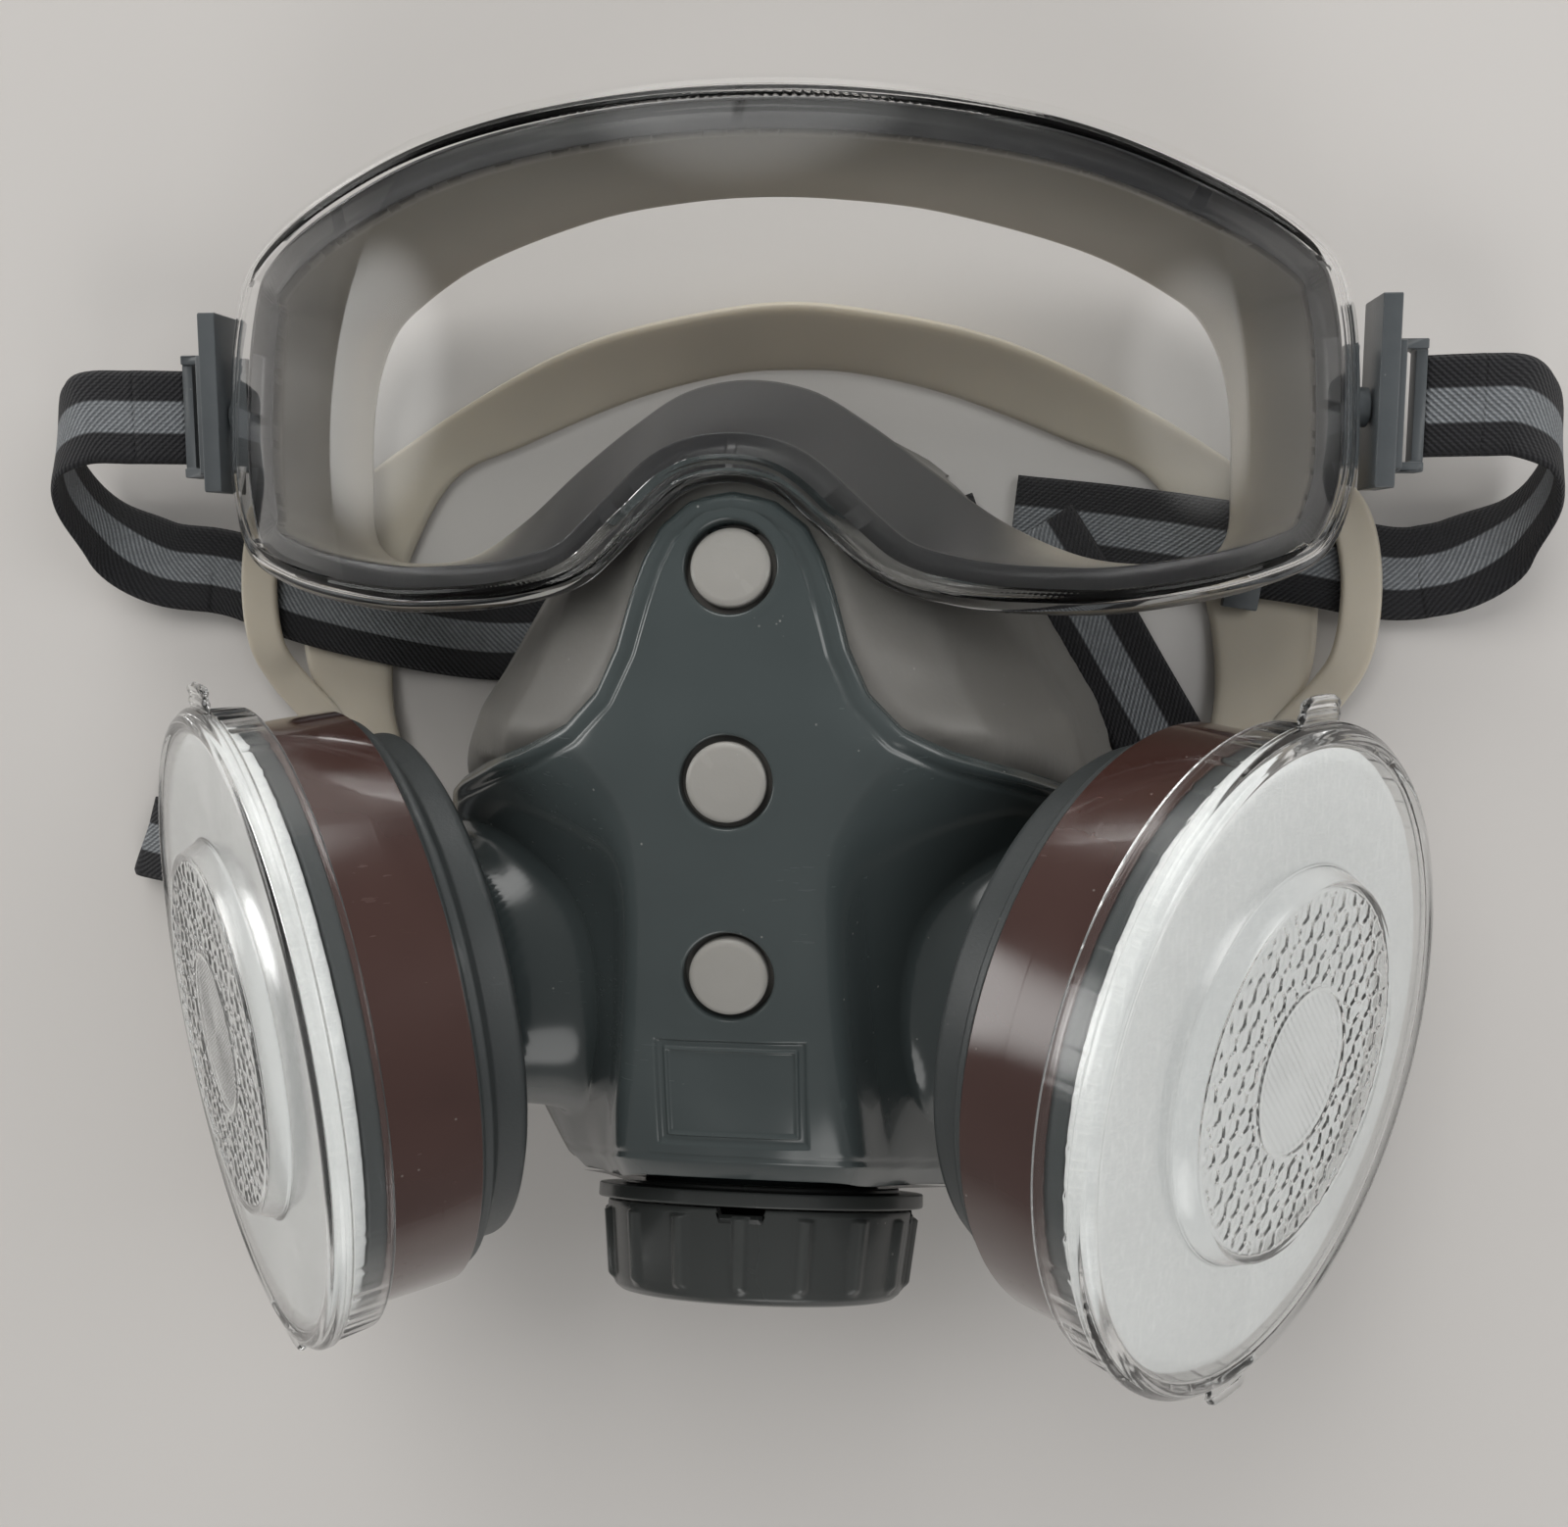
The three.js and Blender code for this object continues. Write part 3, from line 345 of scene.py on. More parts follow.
gasketLook = {"colour": (0.016, 0.016, 0.016), "shade": (0.022, 0.022, 0.022), "smooth": 0.5, "rough": 0.65,
              "grainScale": 1200.0, "bump": 0.25}
flapLook = {"colour": (0.42, 0.40, 0.34), "shade": (0.38, 0.36, 0.31), "smooth": 0.3, "rough": 0.45,
            "grainScale": 900.0, "bump": 0.1, "soft": 0.3}
labelLook = {"colour": (0.040, 0.018, 0.015), "shade": (0.050, 0.023, 0.019), "worn": (0.12, 0.07, 0.06),
             "smooth": 0.12, "rough": 0.2, "grainScale": 500.0, "bump": 0.04, "coat": 0.7, "wear": 0.2}
carbonLook = {"colour": (0.008, 0.008, 0.008), "shade": (0.02, 0.02, 0.02), "smooth": 0.5, "rough": 0.9,
              "grainScale": 700.0, "bump": 1.0}
clipLook = {"colour": (0.062, 0.070, 0.076), "shade": (0.072, 0.080, 0.086), "worn": (0.17, 0.18, 0.185),
            "smooth": 0.34, "rough": 0.46, "grainScale": 1600.0, "bump": 0.22, "wear": 0.4}
cradleLook = {"colour": (0.50, 0.455, 0.375), "shade": (0.455, 0.415, 0.345), "worn": (0.5, 0.47, 0.4),
              "smooth": 0.38, "rough": 0.5, "grainScale": 1100.0, "bump": 0.15, "soft": 0.3}
lensLook = {"colour": (0.99, 0.992, 0.99), "shade": (0.95, 0.96, 0.96), "smooth": 0.0, "rough": 0.002,
            "ior": 1.24, "scuffs": 0.02, "shadow": (0.93, 0.94, 0.94)}
coverLook = {"colour": (0.975, 0.985, 0.985), "shade": (0.95, 0.96, 0.96), "smooth": 0.07, "rough": 0.14,
             "ior": 1.46, "scuffs": 0.12, "shadow": (0.92, 0.93, 0.93)}

finishes = {name: mouldedMaterial(name, look) for name, look in {
    "glossyShell": shellLook, "sealRubber": sealLook, "studRubber": studLook, "valvePlastic": valveLook,
    "casePlastic": caseLook, "ringRubber": ringLook, "gasketRubber": gasketLook, "flapSilicone": flapLook,
    "labelFilm": labelLook, "carbonGrains": carbonLook, "clipPlastic": clipLook,
    "cradleRubber": cradleLook}.items()}
finishes["clearLens"] = clearMaterial("clearLens", lensLook)
finishes["clearCover"] = clearMaterial("clearCover", coverLook)


def frameMaterial():
    # soft vinyl that runs from a dark channel to a paler skirt, by the piece's own shade attribute
    look = {"dark": (0.014, 0.014, 0.016), "pale": (0.40, 0.362, 0.305), "bloom": (0.2, 0.2, 0.19)}
    material, tree, shader = newMaterial("frameVinyl")
    shade = addNode(tree, "ShaderNodeAttribute", attribute_name="shade").outputs["Fac"]
    grain = groupNode(tree, "grain", {"Scale": 1200.0})
    marks = groupNode(tree, "handling", {"Scale": 22.0})
    colour = mixColour(tree, shade, look["dark"], look["pale"])
    bloom = addMath(tree, "MULTIPLY", marks.outputs["Patches"], 0.15)
    colour = mixColour(tree, bloom, colour, look["bloom"])
    tree.links.new(colour, shader.inputs["Base Color"])
    tree.links.new(ramp(tree, marks.outputs["Patches"], 0.0, 1.0, 0.30, 0.42), shader.inputs["Roughness"])
    bump = addNode(tree, "ShaderNodeBump", {"Height": grain.outputs["Height"], "Strength": 0.12,
                                            "Distance": 0.0002})
    tree.links.new(bump.outputs[0], shader.inputs["Normal"])
    setSoftness(shader, 0.25, (0.004, 0.0035, 0.003))
    return material


def webbingMaterial():
    # black twill webbing with a grey stripe along the middle, mapped on the strap's own strip map
    look = {"black": (0.012, 0.012, 0.014), "blackThread": (0.026, 0.026, 0.029),
            "grey": (0.115, 0.125, 0.135), "greyThread": (0.27, 0.285, 0.30),
            "shadow": (0.02, 0.02, 0.02)}
    material, tree, shader = newMaterial("strapWebbing")
    weave = groupNode(tree, "twill", {"Stripe": 0.17})
    grain = groupNode(tree, "grain", {"Scale": 2600.0})
    black = mixColour(tree, weave.outputs["Thread"], look["black"], look["blackThread"])
    grey = mixColour(tree, weave.outputs["Thread"], look["grey"], look["greyThread"])
    colour = mixColour(tree, weave.outputs["Stripe"], black, grey)
    # painted shadow among the fibres: the colour turns towards the near-black shadow colour where the fine
    # grain's mask is high
    fibreShadow = addMath(tree, "MULTIPLY", grain.outputs["Mask"], 0.25)
    colour = mixColour(tree, fibreShadow, colour, look["shadow"])
    tree.links.new(colour, shader.inputs["Base Color"])
    fuzz = addMath(tree, "MULTIPLY", grain.outputs["Height"], 0.7)
    fuzz = addMath(tree, "ADD", weave.outputs["Height"], fuzz)
    bump = addNode(tree, "ShaderNodeBump", {"Height": fuzz, "Strength": 0.8, "Distance": 0.0003})
    tree.links.new(bump.outputs[0], shader.inputs["Normal"])
    shader.inputs["Roughness"].default_value = 0.86
    shader.inputs["Sheen Weight"].default_value = 0.04
    shader.inputs["Sheen Roughness"].default_value = 0.5
    return material


def cottonMaterial():
    # pressed cotton: tangled fibres from stretched noises at two angles, with soft sheen
    look = {"colour": (0.86, 0.86, 0.85), "shade": (0.74, 0.745, 0.74)}
    material, tree, shader = newMaterial("cottonPad")
    place = addNode(tree, "ShaderNodeTexCoord").outputs["Object"]
    heights = []
    for turn, scale in (((0.2, 0.4, 0.3), (1.0, 7.0, 2.0)), ((1.1, 0.2, 1.9), (6.0, 1.0, 1.5))):
        turned = addNode(tree, "ShaderNodeMapping", {"Vector": place, "Rotation": turn, "Scale": scale})
        heights.append(addNode(tree, "ShaderNodeTexNoise", {"Vector": turned.outputs[0], "Scale": 380.0,
                                                            "Detail": 5.0, "Roughness": 0.7}).outputs[0])
    fibres = addMath(tree, "MAXIMUM", heights[0], heights[1])
    lumps = addNode(tree, "ShaderNodeTexNoise", {"Vector": place, "Scale": 70.0, "Detail": 3.0}).outputs[0]
    colour = mixColour(tree, ramp(tree, fibres, 0.45, 0.7), look["shade"], look["colour"])
    tree.links.new(colour, shader.inputs["Base Color"])
    height = addMath(tree, "ADD", fibres, addMath(tree, "MULTIPLY", lumps, 0.8))
    bump = addNode(tree, "ShaderNodeBump", {"Height": height, "Strength": 0.55, "Distance": 0.0006})
    tree.links.new(bump.outputs[0], shader.inputs["Normal"])
    shader.inputs["Roughness"].default_value = 0.95
    shader.inputs["Sheen Weight"].default_value = 0.4
    setSoftness(shader, 0.15, (0.002, 0.002, 0.002))
    return material


def floorMaterial():
    # pale matt table with slow changes of tone
    material, tree, shader = newMaterial("paleTable")
    place = addNode(tree, "ShaderNodeTexCoord").outputs["Object"]
    tone = addNode(tree, "ShaderNodeTexNoise", {"Vector": place, "Scale": 3.0, "Detail": 2.0}).outputs[0]
    colour = mixColour(tree, tone, studioLook["floorColour"], studioLook["floorShade"])
    tree.links.new(colour, shader.inputs["Base Color"])
    shader.inputs["Roughness"].default_value = 0.62
    return material


finishes["frameVinyl"] = frameMaterial()
finishes["strapWebbing"] = webbingMaterial()
finishes["cottonPad"] = cottonMaterial()


def makeFloor():
    # one square, far wider than the object
    mesh = bpy.data.meshes.new("floor")
    reach = 4.0
    mesh.from_pydata([(-reach, -reach, 0), (reach, -reach, 0), (reach, reach, 0), (-reach, reach, 0)], [],
                     [(0, 1, 2, 3)])
    floor = bpy.data.objects.new("floor", mesh)
    floor.data.materials.append(floorMaterial())
    bpy.context.scene.collection.objects.link(floor)


makeCamera()
makeLamps()
makeRoom()
makeFloor()
print("studio and materials ready")

# shapes as arrays of points

def curveThrough(points, u):
    # centripetal curve through points, u from 0 at the first to 1 at the last; the points' last but
    # one axis counts them, and every axis before it must fit the shape of u
    p = np.asarray(points, float)
    u = np.asarray(u, float)
    count = p.shape[-2]
    first = 2 * p[..., :1, :] - p[..., 1:2, :]
    last = 2 * p[..., -1:, :] - p[..., -2:-1, :]
    p = np.concatenate([first, p, last], axis=-2)
    t = np.clip(u, 0, 1) * (count - 1)
    i = np.minimum(t.astype(int), count - 2)
    w = (t - i)[..., None]
    if p.ndim == 2:
        a, b, c, d = p[i], p[i + 1], p[i + 2], p[i + 3]
    else:
        pick = lambda k: np.take_along_axis(p, (i + k)[..., None, None], axis=-2)[..., 0, :]
        a, b, c, d = pick(0), pick(1), pick(2), pick(3)
    gapOf = lambda m, n: np.maximum(np.sqrt(np.linalg.norm(n - m, axis=-1, keepdims=True)), 1e-4)
    ab, bc, cd = gapOf(a, b), gapOf(b, c), gapOf(c, d)
    m = ((b - a) / ab - (c - a) / (ab + bc) + (c - b) / bc) * bc
    n = ((c - b) / bc - (d - b) / (bc + cd) + (d - c) / cd) * bc
    return b + m * w + (-3 * b + 3 * c - 2 * m - n) * w ** 2 + (2 * b - 2 * c + m + n) * w ** 3


def loopThrough(points, count):
    # closed smooth loop through points, as count evenly spaced points
    p = np.asarray(points, float)
    p = np.concatenate([p[-3:], p, p[:4]])
    dense = curveThrough(p, np.linspace(3, len(p) - 4, 4001) / (len(p) - 1))
    run = np.concatenate([[0], np.cumsum(np.linalg.norm(np.diff(dense, axis=0), axis=1))])
    at = np.linspace(0, run[-1], count, endpoint=False)
    return np.stack([np.interp(at, run, dense[:, k]) for k in range(dense.shape[1])], axis=1)


def rounded(points, radius, steps=4):
    # profile with each inner corner replaced by a small arc between two points on its sides
    p = np.asarray(points, float)
    out = [p[0]]
    for k in range(1, len(p) - 1):
        before, after = p[k - 1] - p[k], p[k + 1] - p[k]
        reach = min(radius, 0.42 * np.linalg.norm(before), 0.42 * np.linalg.norm(after))
        a = p[k] + before / np.linalg.norm(before) * reach
        b = p[k] + after / np.linalg.norm(after) * reach
        out.append(a + (a - p[k]) * 0.12)
        out.extend((1 - w) ** 2 * a + 2 * w * (1 - w) * p[k] + w ** 2 * b for w in np.linspace(0, 1, steps))
        out.append(b + (b - p[k]) * 0.12)
    out.append(p[-1])
    return np.array(out)


def facing(origin, direction):
    # local axes with Z along the direction, as columns, and the origin
    z = np.array(direction, float) / np.linalg.norm(direction)
    x = np.cross((0, 1, 0), z)
    if np.linalg.norm(x) < 0.4:
        x = np.array((1.0, 0, 0))
    x = x - z * (x @ z)
    x = x / np.linalg.norm(x)
    return np.stack([x, np.cross(z, x), z], axis=1), np.array(origin, float)


def placed(local, place):
    # local points turned to the place's axes and moved to its origin
    axes, origin = place
    return local @ axes.T + origin


def turnedRings(profile, segments, ripple=None):
    # ring of points at each [radius, height] of the profile, turned about local Z
    profile = np.asarray(profile, float)
    angle = np.linspace(0, 2 * np.pi, segments, endpoint=False)[None, :]
    radius = np.repeat(profile[:, :1], segments, axis=1)
    height = np.repeat(profile[:, 1:], segments, axis=1)
    if ripple is not None:
        radius, height = ripple(radius, height, np.repeat(angle, len(profile), axis=0))
    return np.stack([radius * np.cos(angle), radius * np.sin(angle), height], axis=-1)


def gridFaces(rows, columns, closeRows=False, closeColumns=False):
    # four-sided faces between neighbours of a grid of points, closed on itself where asked
    rowEnd = rows if closeRows else rows - 1
    columnEnd = columns if closeColumns else columns - 1
    i, j = np.meshgrid(np.arange(rowEnd), np.arange(columnEnd), indexing="ij")
    a = i * columns + j
    b = i * columns + (j + 1) % columns
    c = ((i + 1) % rows) * columns + (j + 1) % columns
    d = ((i + 1) % rows) * columns + j
    return np.stack([a, b, c, d], axis=-1).reshape(-1, 4)


def outwardFaces(points, faces):
    # faces turned so that most of their area looks away from the middle of the piece
    corner = points[faces]
    normal = np.cross(corner[:, 2] - corner[:, 0], corner[:, 3] - corner[:, 1])
    middle = points.mean(axis=0)
    if ((corner.mean(axis=1) - middle) * normal).sum() < 0:
        return faces[:, ::-1]
    return faces


def facesToward(points, faces, direction):
    # faces turned so that most of their area looks along the direction
    corner = points[faces]
    normal = np.cross(corner[:, 2] - corner[:, 0], corner[:, 3] - corner[:, 1]).sum(axis=0)
    return faces if normal @ direction > 0 else faces[:, ::-1]


def makePiece(name, parts, finish, merge=False, strip=None, shade=None):
    # one mesh from (points, faces) parts in millimetres; strip is a UV for each point
    starts = np.cumsum([0] + [len(p) for p, _ in parts])[:-1]
    points = np.concatenate([p for p, _ in parts])
    faces = np.concatenate([f + start for (_, f), start in zip(parts, starts)])
    mesh = bpy.data.meshes.new(name)
    mesh.vertices.add(len(points))
    mesh.vertices.foreach_set("co", (points * mm).astype(np.float32).ravel())
    mesh.loops.add(faces.size)
    mesh.loops.foreach_set("vertex_index", faces.astype(np.int32).ravel())
    mesh.polygons.add(len(faces))
    mesh.polygons.foreach_set("loop_start", np.arange(0, faces.size, 4, dtype=np.int32))
    mesh.polygons.foreach_set("use_smooth", np.ones(len(faces), dtype=bool))
    if strip is not None:
        layer = mesh.uv_layers.new(name="strip")
        layer.data.foreach_set("uv", strip[faces.ravel()].astype(np.float32).ravel())
    if shade is not None:
        layer = mesh.attributes.new("shade", "FLOAT", "POINT")
        layer.data.foreach_set("value", shade.astype(np.float32))
    mesh.update(calc_edges=True)
    mesh.validate()
    piece = bpy.data.objects.new(name, mesh)
    bpy.context.scene.collection.objects.link(piece)
    mesh.materials.append(finishes[finish])
    if merge:
        mergePoints(mesh)
    return piece


def mergePoints(mesh, distance=2e-6):
    # points closer than the distance, in metres, become one
    work = bmesh.new()
    work.from_mesh(mesh)
    bmesh.ops.remove_doubles(work, verts=work.verts, dist=distance)
    work.to_mesh(mesh)
    work.free()


def settle(piece, body, nodes):
    # body it rides on, or none when the piece stays in place, then the CAD nodes it stands for, which are
    # hidden
    if body:
        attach(piece, body)
    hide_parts(*nodes)


def latheParts(profile, segments, place, ripple=None):
    # profile turned about the place's Z, with the ripple's change of radius and height
    rings = placed(turnedRings(profile, segments, ripple), place)
    faces = gridFaces(len(rings), segments, closeColumns=True)
    points = rings.reshape(-1, 3)
    return points, outwardFaces(points, faces)


def smoothStep(x, low, high):
    # 0 below the low mark and 1 above the high one, level at both
    t = np.clip((x - low) / (high - low), 0, 1)
    return t * t * (3 - 2 * t)


def bump(x, centre, width):
    # smooth ridge of height 1 over a width either side of the centre
    t = np.clip(1 - np.abs(x - centre) / width, 0, 1)
    return t * t * (3 - 2 * t)


def smoothCopy(name, node, finish, edge=0.35, segments=2):
    # copy of a CAD node with its loose triangles merged and its corners bevelled
    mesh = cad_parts[node].data.copy()
    mesh.name = name
    mergePoints(mesh, 1e-5)
    mesh.materials.clear()
    mesh.materials.append(finishes[finish])
    mesh.polygons.foreach_set("use_smooth", np.ones(len(mesh.polygons), dtype=bool))
    piece = bpy.data.objects.new(name, mesh)
    bpy.context.scene.collection.objects.link(piece)
    bevel = piece.modifiers.new("corners", "BEVEL")
    bevel.width = edge * mm
    bevel.segments = segments
    bevel.limit_method = "ANGLE"
    bevel.angle_limit = math.radians(32)
    bevel.harden_normals = True
    return piece


# the mask's outer surface

maskShape = {
    "rim": 24.0,      # height of the shell's lower edge
    # half-sections across the mask at stations of Y: [x, z] from the mid-plane to the side
    "sections": [
        (57, [(0, 9), (2, 9), (4, 8.6), (6, 8), (7.5, 7.2), (8.5, 6), (9, 3)]),
        (53, [(0, 32), (2.5, 31.5), (5, 29), (7.5, 24), (9.5, 18), (12, 11), (13.5, 5)]),
        (47.5, [(0, 63), (4, 62.5), (8.5, 59.5), (12.5, 52), (16, 40), (20, 24), (23.5, 6)]),
        (40, [(0, 75.2), (4, 74.8), (8, 72.6), (14.5, 66), (21, 54), (26, 39), (33, 8)]),
        (28, [(0, 77.8), (6, 77.6), (11, 76.4), (15.5, 73.8), (26.5, 61), (34, 40), (42, 8)]),
        (14, [(0, 80.2), (7, 80), (12, 79.2), (18, 77), (31.5, 64), (42.5, 38), (50.5, 8)]),
        (4, [(0, 82), (7, 81.9), (12.8, 81), (21, 78.4), (37, 65.5), (50, 37), (56.5, 8)]),
        (-6, [(0, 82.2), (7, 82.1), (13.2, 81), (21, 75.6), (38, 59), (52, 38), (59, 9)]),
        (-20, [(0, 81.2), (7.5, 81.1), (14, 79.4), (19.5, 69), (34, 53), (52, 36), (61, 10)]),
        (-38, [(0, 79.2), (8, 79.1), (15.2, 77.4), (20, 66.5), (32, 50), (50, 33), (60.5, 10)]),
        (-52, [(0, 76.6), (9, 76.4), (16.6, 74.6), (21, 65), (30, 49), (44, 33), (57, 10)]),
        (-62, [(0, 73.4), (9, 73.2), (17, 71.2), (22, 62), (28, 49.5), (38, 34), (52, 10)]),
        (-75, [(0, 66), (9, 65.8), (16.5, 64), (21, 57), (26, 47), (34, 33), (46, 10)]),
        (-90, [(0, 58), (9, 57.8), (16, 56), (20, 50), (24, 42), (30, 32), (38, 10)]),
    ],
    # right half of the shell's outline seen from the front
    "outline": [(0, 39.3), (6, 38.2), (10.6, 34.6), (13, 30), (14.8, 24.6), (16.6, 18), (19.4, 12),
                (24, 7.2), (31, 3.2), (41, -1.2), (50, -5.6), (58, -11), (58.5, -38), (54, -52),
                (45, -62), (33, -76), (26, -92)],
}
portShape = {"place": (48.6, -37, 47.6), "axis": (0.79, -0.1, 0.61), "boss": 20.6, "hole": 15.6,
             "sunk": 0.3, "slope": 2.1, "flare": 1.15, "fillet": 6.0, "reach": 45}
valveShape = {"place": (0, -70.9, 44.6), "tilt": math.radians(20.5), "hole": 19.0}
valveAxis = np.array((0, -math.cos(valveShape["tilt"]), math.sin(valveShape["tilt"])))
valvePlace = facing(valveShape["place"], valveAxis)
portPlaces = {side: facing((sign * portShape["place"][0], *portShape["place"][1:]),
                           (sign * portShape["axis"][0], *portShape["axis"][1:]))
              for side, sign in (("left", -1), ("right", 1))}
# each stud's place and the degrees its axis leans towards +Y
studPlaces = {"top": ((0, 28.9, 77.4), 16), "middle": ((0, 0, 82.2), 2), "bottom": ((0, -27.4, 80.6), -5)}


def studAxis(tilt):
    return 0, math.sin(math.radians(tilt)), math.cos(math.radians(tilt))


stationPoints = np.array([[(x, y, z) for x, z in half] for y, half in maskShape["sections"]])
stationU = np.linspace(0, 1, 3001)
stationY = curveThrough(stationPoints[:, 3], stationU)[:, 1]


def maskPoints(y, q):
    # points of the mask's surface at heights y and shares q of the section, -1 left foot to 1 right:
    # each section is a curve through eight points, and each of those runs along Y on its own curve
    y, q = np.broadcast_arrays(np.asarray(y, float), np.asarray(q, float))
    u = np.interp(-y, -stationY, stationU)
    ring = np.stack([curveThrough(stationPoints[:, k], u) for k in range(7)], axis=-2)[..., (0, 2)]
    ground = ring[..., -1:, :] * (1, 0)
    ring = np.concatenate([ring[..., 1:2, :] * (-1, 1), ring, ground], axis=-2)
    flat = curveThrough(ring, (1 + np.abs(q) * 7) / 8)
    return np.stack([flat[..., 0] * np.sign(q), y, flat[..., 1]], axis=-1)


def surfaceAt(x, y):
    # point of the mask's surface above x and y: its share of the section is found by halving
    x, y = np.broadcast_arrays(np.asarray(x, float), np.asarray(y, float))
    low, high = np.zeros(x.shape), np.ones(x.shape)
    for _ in range(22):
        middle = (low + high) / 2
        beyond = maskPoints(y, middle)[..., 0] > np.abs(x)
        low, high = np.where(beyond, low, middle), np.where(beyond, middle, high)
    return maskPoints(y, (low + high) / 2 * np.where(x < 0, -1, 1))


def normalsOf(grid):
    # unit normals of a grid of points from its two runs of neighbours, turned upwards
    a = np.gradient(grid, axis=0)
    b = np.gradient(grid, axis=1)
    n = np.cross(a, b)
    n /= np.maximum(np.linalg.norm(n, axis=-1, keepdims=True), 1e-12)
    return n if n[..., 2].mean() > 0 else -n


shellOutline = np.array(maskShape["outline"], float)


def outlineDistance(x, y):
    # distance in the XY plane from the nearest side of the shell's outline
    a, b = shellOutline[:-1], shellOutline[1:]
    p = np.stack([np.abs(x), y], axis=-1)[..., None, :]
    t = np.clip(((p - a) * (b - a)).sum(-1) / ((b - a) ** 2).sum(-1), 0, 1)
    return np.linalg.norm(p - a - t[..., None] * (b - a), axis=-1).min(axis=-1)


def raiseBoss(points):
    # the shell rises to a flat round boss about each port: the higher of the surface and the boss's
    # cone along the port axis, joined by a fillet
    boss = portShape["boss"]
    for axes, origin in portPlaces.values():
        axis = axes[:, 2]
        along, radius = fromAxis(points, axes, origin)
        cone = -portShape["sunk"] - portShape["slope"] * np.maximum(radius - boss, 0) ** portShape["flare"]
        fillet = np.maximum(portShape["fillet"] * smoothStep(radius, boss - 1, boss + 4), 0.4)
        joined = np.clip(fillet - np.abs(cone - along), 0, None) / fillet
        top = np.maximum(cone, along) + joined * joined * fillet / 4
        top = np.where(radius < boss - 1, cone, top)
        points = points + (top - along)[..., None] * axis * (radius < portShape["reach"])[..., None]
    return points


def fromAxis(points, axes, origin):
    # distance of points along a place's Z axis, and their radius from it
    along = (points - origin) @ axes[:, 2]
    return along, np.linalg.norm(points - origin - along[..., None] * axes[:, 2], axis=-1)


shellShape = {"columns": 280, "rows": 256, "top": 39.28, "low": -84,
              "bead": 0.42, "beadAt": 1.5, "beadWidth": 1.3,
              "groove": 0.3, "grooveAt": 3.1, "grooveWidth": 0.8,
              "edgeRound": 0.8, "chamfer": 3.4, "chamferSlope": 0.40, "chamferLine": 0.25,
              "edgeTurn": (0.5, 1.5, 2.4)}     # depths of the rows that turn in at the edges
plateShape = {"half": 10.6, "low": -53.0, "high": -37.0, "border": 1.8, "depth": 0.55, "lineAt": 1.3,
              "line": 0.42, "columns": 140, "rows": 112}
# stud wells: radius and drop of each ring from the surface down the hole
wellShape = {"rings": [(8.0, -0.02), (7.4, -0.03), (7.0, -0.02), (6.8, 0.0), (6.62, 0.06), (6.48, 0.16),
                       (6.38, 0.3), (6.32, 0.5), (6.3, 0.8), (6.3, 1.8), (6.3, 3.0)], "cut": 7.3}
patchSink = 3.2      # depth the shell drops beneath its wells and plate


def edgeShares():
    # share of each section where the shell ends: at its outline or at its rim, whichever is nearer
    y = np.linspace(shellOutline[0, 1], shellShape["low"], 500)
    width = np.interp(-y, -shellOutline[:, 1], shellOutline[:, 0])
    shares = np.linspace(0, 1, 500)
    sections = maskPoints(y[:, None], shares[None, :])
    byWidth = [np.interp(w, np.maximum.accumulate(row[:, 0]), shares) for w, row in zip(width, sections)]
    byRim = [np.interp(-maskShape["rim"], -row[:, 2], shares) for row in sections]
    return y, np.minimum(byWidth, byRim)


edgeTable = edgeShares()


def shareOfEdge(y):
    return np.interp(-y, -edgeTable[0], edgeTable[1])


def chinLine(t):
    # y where the surface meets the valve's plane, at shares t of the shell's width, by repeated steps
    _, valveY, valveZ = valveShape["place"]
    y = np.full(t.shape, -72.0)
    for _ in range(12):
        y = valveY + math.tan(valveShape["tilt"]) * (maskPoints(y, t * shareOfEdge(y))[:, 2] - valveZ)
    return y


def shellRelief(points):
    # height above the plain surface: bead and groove along the wing edges, chamfer above the valve
    edge = outlineDistance(points[..., 0], points[..., 1])
    upper = smoothStep(points[..., 1], -12, -4)
    relief = upper * (shellShape["bead"] * bump(edge, shellShape["beadAt"], shellShape["beadWidth"])
                      - shellShape["groove"] * bump(edge, shellShape["grooveAt"], shellShape["grooveWidth"]))
    relief -= shellShape["edgeRound"] * smoothStep(-edge, -0.9, 0)
    fromValve = -((points - valvePlace[1]) @ valveAxis)
    relief -= shellShape["chamferSlope"] * np.clip(shellShape["chamfer"] - fromValve, 0, None)
    relief -= shellShape["chamferLine"] * bump(fromValve, shellShape["chamfer"] + 0.5, 0.6)
    return relief


def shellSkin():
    # rows run from the nose tip down to the chin, columns across between the shell's edges
    t = np.linspace(-1, 1, shellShape["columns"])
    t = t * (0.86 + 0.14 * t * t)
    b = np.linspace(0, 1, shellShape["rows"])
    b = 0.35 * b * b + 0.65 * b
    top = shellShape["top"]
    y = top + b[:, None] * (chinLine(t) - top)[None, :]
    plain = maskPoints(y, t[None, :] * shareOfEdge(y))
    skin = raiseBoss(plain + normalsOf(plain) * shellRelief(plain)[..., None])
    normal = normalsOf(skin)
    skin -= normal * (patchSink * underPatches(plain[..., 0], plain[..., 1]))[..., None]
    # both edges turn in by the wall's thickness
    left, right = ([skin[:, k] - normal[:, k] * depth for depth in shellShape["edgeTurn"]] for k in (0, -1))
    skin = np.concatenate([np.stack(left[::-1], axis=1), skin, np.stack(right, axis=1)], axis=1)
    points, faces = skin.reshape(-1, 3), gridFaces(*skin.shape[:2])
    middle = points[faces].mean(axis=1)
    for axes, origin in portPlaces.values():
        along, radius = fromAxis(middle, axes, origin)
        port = (radius < portShape["hole"]) & (along > -8)
        faces, middle = faces[~port], middle[~port]
    return points, outwardFaces(points, faces)


